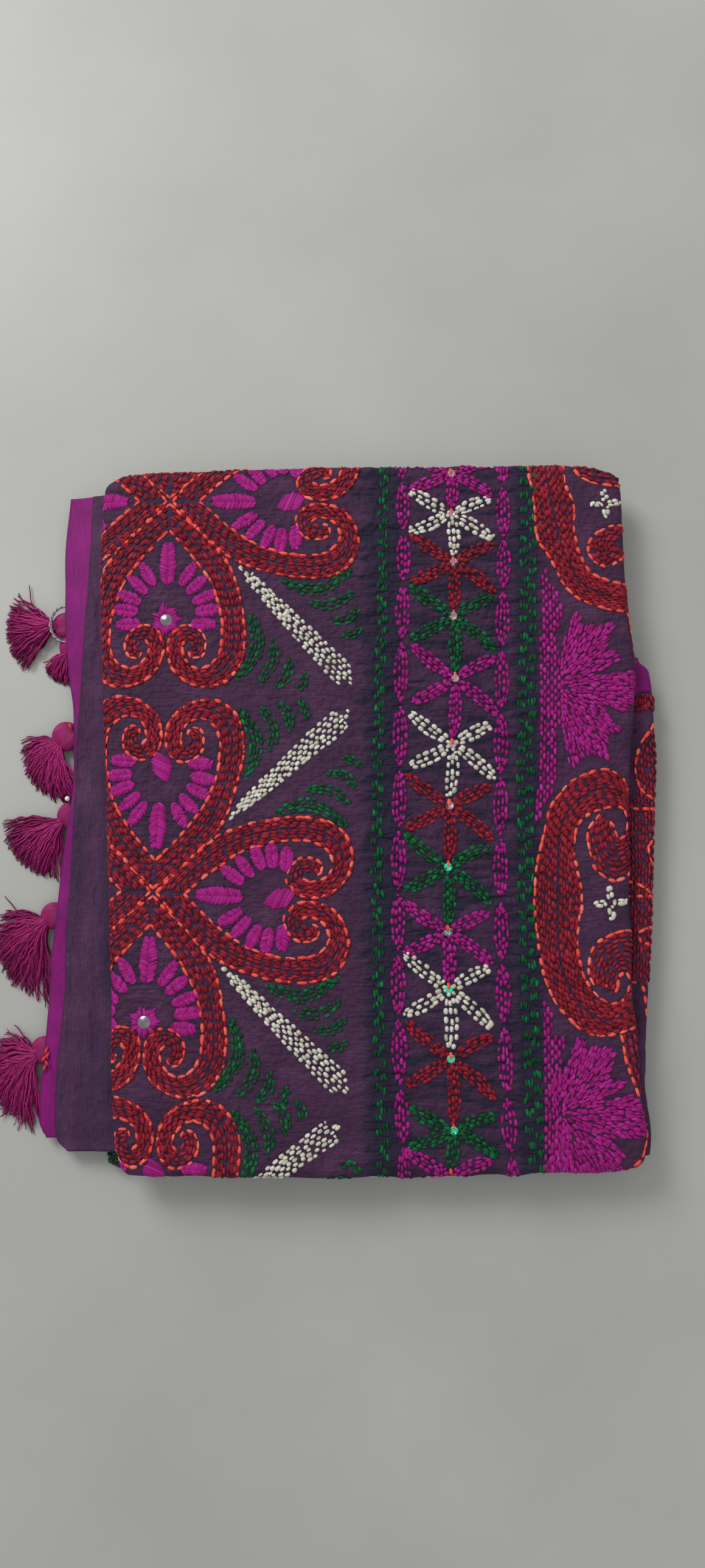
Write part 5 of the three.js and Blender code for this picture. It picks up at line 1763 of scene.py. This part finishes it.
def sewn(prefix: str, work: Needlework, grounds: dict[Thread, tuple[Lay, Callable]]) -> list[Piece]:
    """Each thread's stitches, on the cloth that they are sewn to.

    Args:
        prefix: starts the pieces' names.
        work: holds the stitches.
        grounds: for each thread, what lays places on its cloth, and what says which of them show.

    Returns:
        The pieces.
    """
    made = []
    for thread, (lay, keep) in grounds.items():
        name = f"{prefix}_{thread.name.lower()}"
        made.append(stitch_piece(name, np.concatenate(work.rows[thread]), lay, thread.value, keep))
    return made


def side_work(lower: TurnedRun, turned: TurnedRun) -> list[Piece]:
    """What shows of the pattern on the runs below: scrolls on the right, green leaves at the lower left."""
    work = Needlework(np.random.default_rng(SEED + 7))
    lines = [[(192.5, 60), (187.3, 52), (182, 45.9), (178.3, 37.6), (176.9, 27.3), (178.4, 16.9),
              (182.9, 10.6), (190, 6)],
             [(166, 1.8), (173.1, 1.8), (182.4, 0.3), (192, 1.5)],
             [(188, -19), (183, -24.2), (182.4, -28.3), (186, -38)],
             [(166, -47), (170.4, -47.9), (178.3, -51.3), (186, -58)],
             [(165, -57.1), (176, -57.3), (188, -57.4)],
             [(186, -77), (180, -78.6), (173.9, -80.5), (172.5, -84.5), (175.5, -88.5), (184, -90)],
             [(160, -113), (166.9, -113.3), (172.1, -114.3), (174.6, -118.3), (175.4, -126.2), (175.8, -136)]]
    for line in lines:
        work.run(Thread.ORANGE, path_through(line, 10), 6.0, 1.0, 2.5)
    scroll = np.array([(194, 58), (187, 50), (178, 38), (176, 27), (178, 10), (164, 6), (158, -112),
                       (176, -116), (194, -110)])
    for x in np.arange(160, 194, 2.3):
        work.run(Thread.RED, path_through([(x - 1, 62), (x + 2, 0), (x - 6, -118)], 40), 4.8, 1.3, 2.2,
                 shift=work.rng.uniform(), within=scroll)
    for x in np.arange(171, 195, 1.9):
        work.run(Thread.RED, path_through([(x, 79), (x + 0.5, 67)]), 5.4, 0.5, 2.6, shift=work.rng.uniform())
    for y in (-217, -221, -225):
        spine = path_through([(-189, y + 2), (-181, y + 1), (-170, y)], 8)
        work.leaf(Thread.GREEN, spine, 3.4, 2, 3.6, 0.9, 2.2, blunt=0.6)
    shown = lambda x, y: y > -224
    runs = {Thread.ORANGE: lower, Thread.RED: lower, Thread.GREEN: turned}
    return sewn("side_stitches", work, {thread: (run.lay, shown) for thread, run in runs.items()})


def main() -> None:
    """Builds the packet piece by piece, then the room."""
    logging.basicConfig(level=logging.INFO, format="%(message)s")
    packet, studio = Packet(), Studio()
    studio.camera()
    pattern, work, relief = Pattern(), Needlework(), Relief()
    pattern.sew(work)
    top = TopRun(packet, relief)
    trim = Trim(pattern, top)
    trim.tacks(work)
    relief.draw(work)
    lower, end = [right_run(packet, ends) for ends in ((-224.0, 80.0), (80.3, 104.5))]
    turned = left_return(packet)
    border = EndBorder(packet)
    pieces = [
        HiddenPlies(packet).build(),
        top.build(),
        lower.build("right_stretch_cloth", PLUM_SILK, "stitched_cloth", (0.0305, 0.304)),
        end.build("right_border_cloth", MAGENTA_SILK, "border_cloth", (0.029, 0.0242)),
        turned.build("lower_left_return_cloth", PLUM_SILK, "body_cloth", (0.016, 0.1665)),
        *border.build(),
        *sewn("stitches", work, {thread: (top.lay, top.shows) for thread in Thread}),
        *side_work(lower, turned),
        *trim.build(),
        *(tassel.build(border) for tassel in TASSELS),
        *LooseThreads(border).build(),
    ]
    for piece in pieces:
        log.info("%s: %d faces", piece.name, len(piece.data.polygons))
    studio.floor()
    studio.lights()


if __name__ == "__main__":
    main()
    VISUAL_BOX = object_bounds()
    boxes = {"cad": CAD_BOX, "visual": VISUAL_BOX}
    {k: [[float(c) for c in corner] for corner in box] for k, box in boxes.items()}
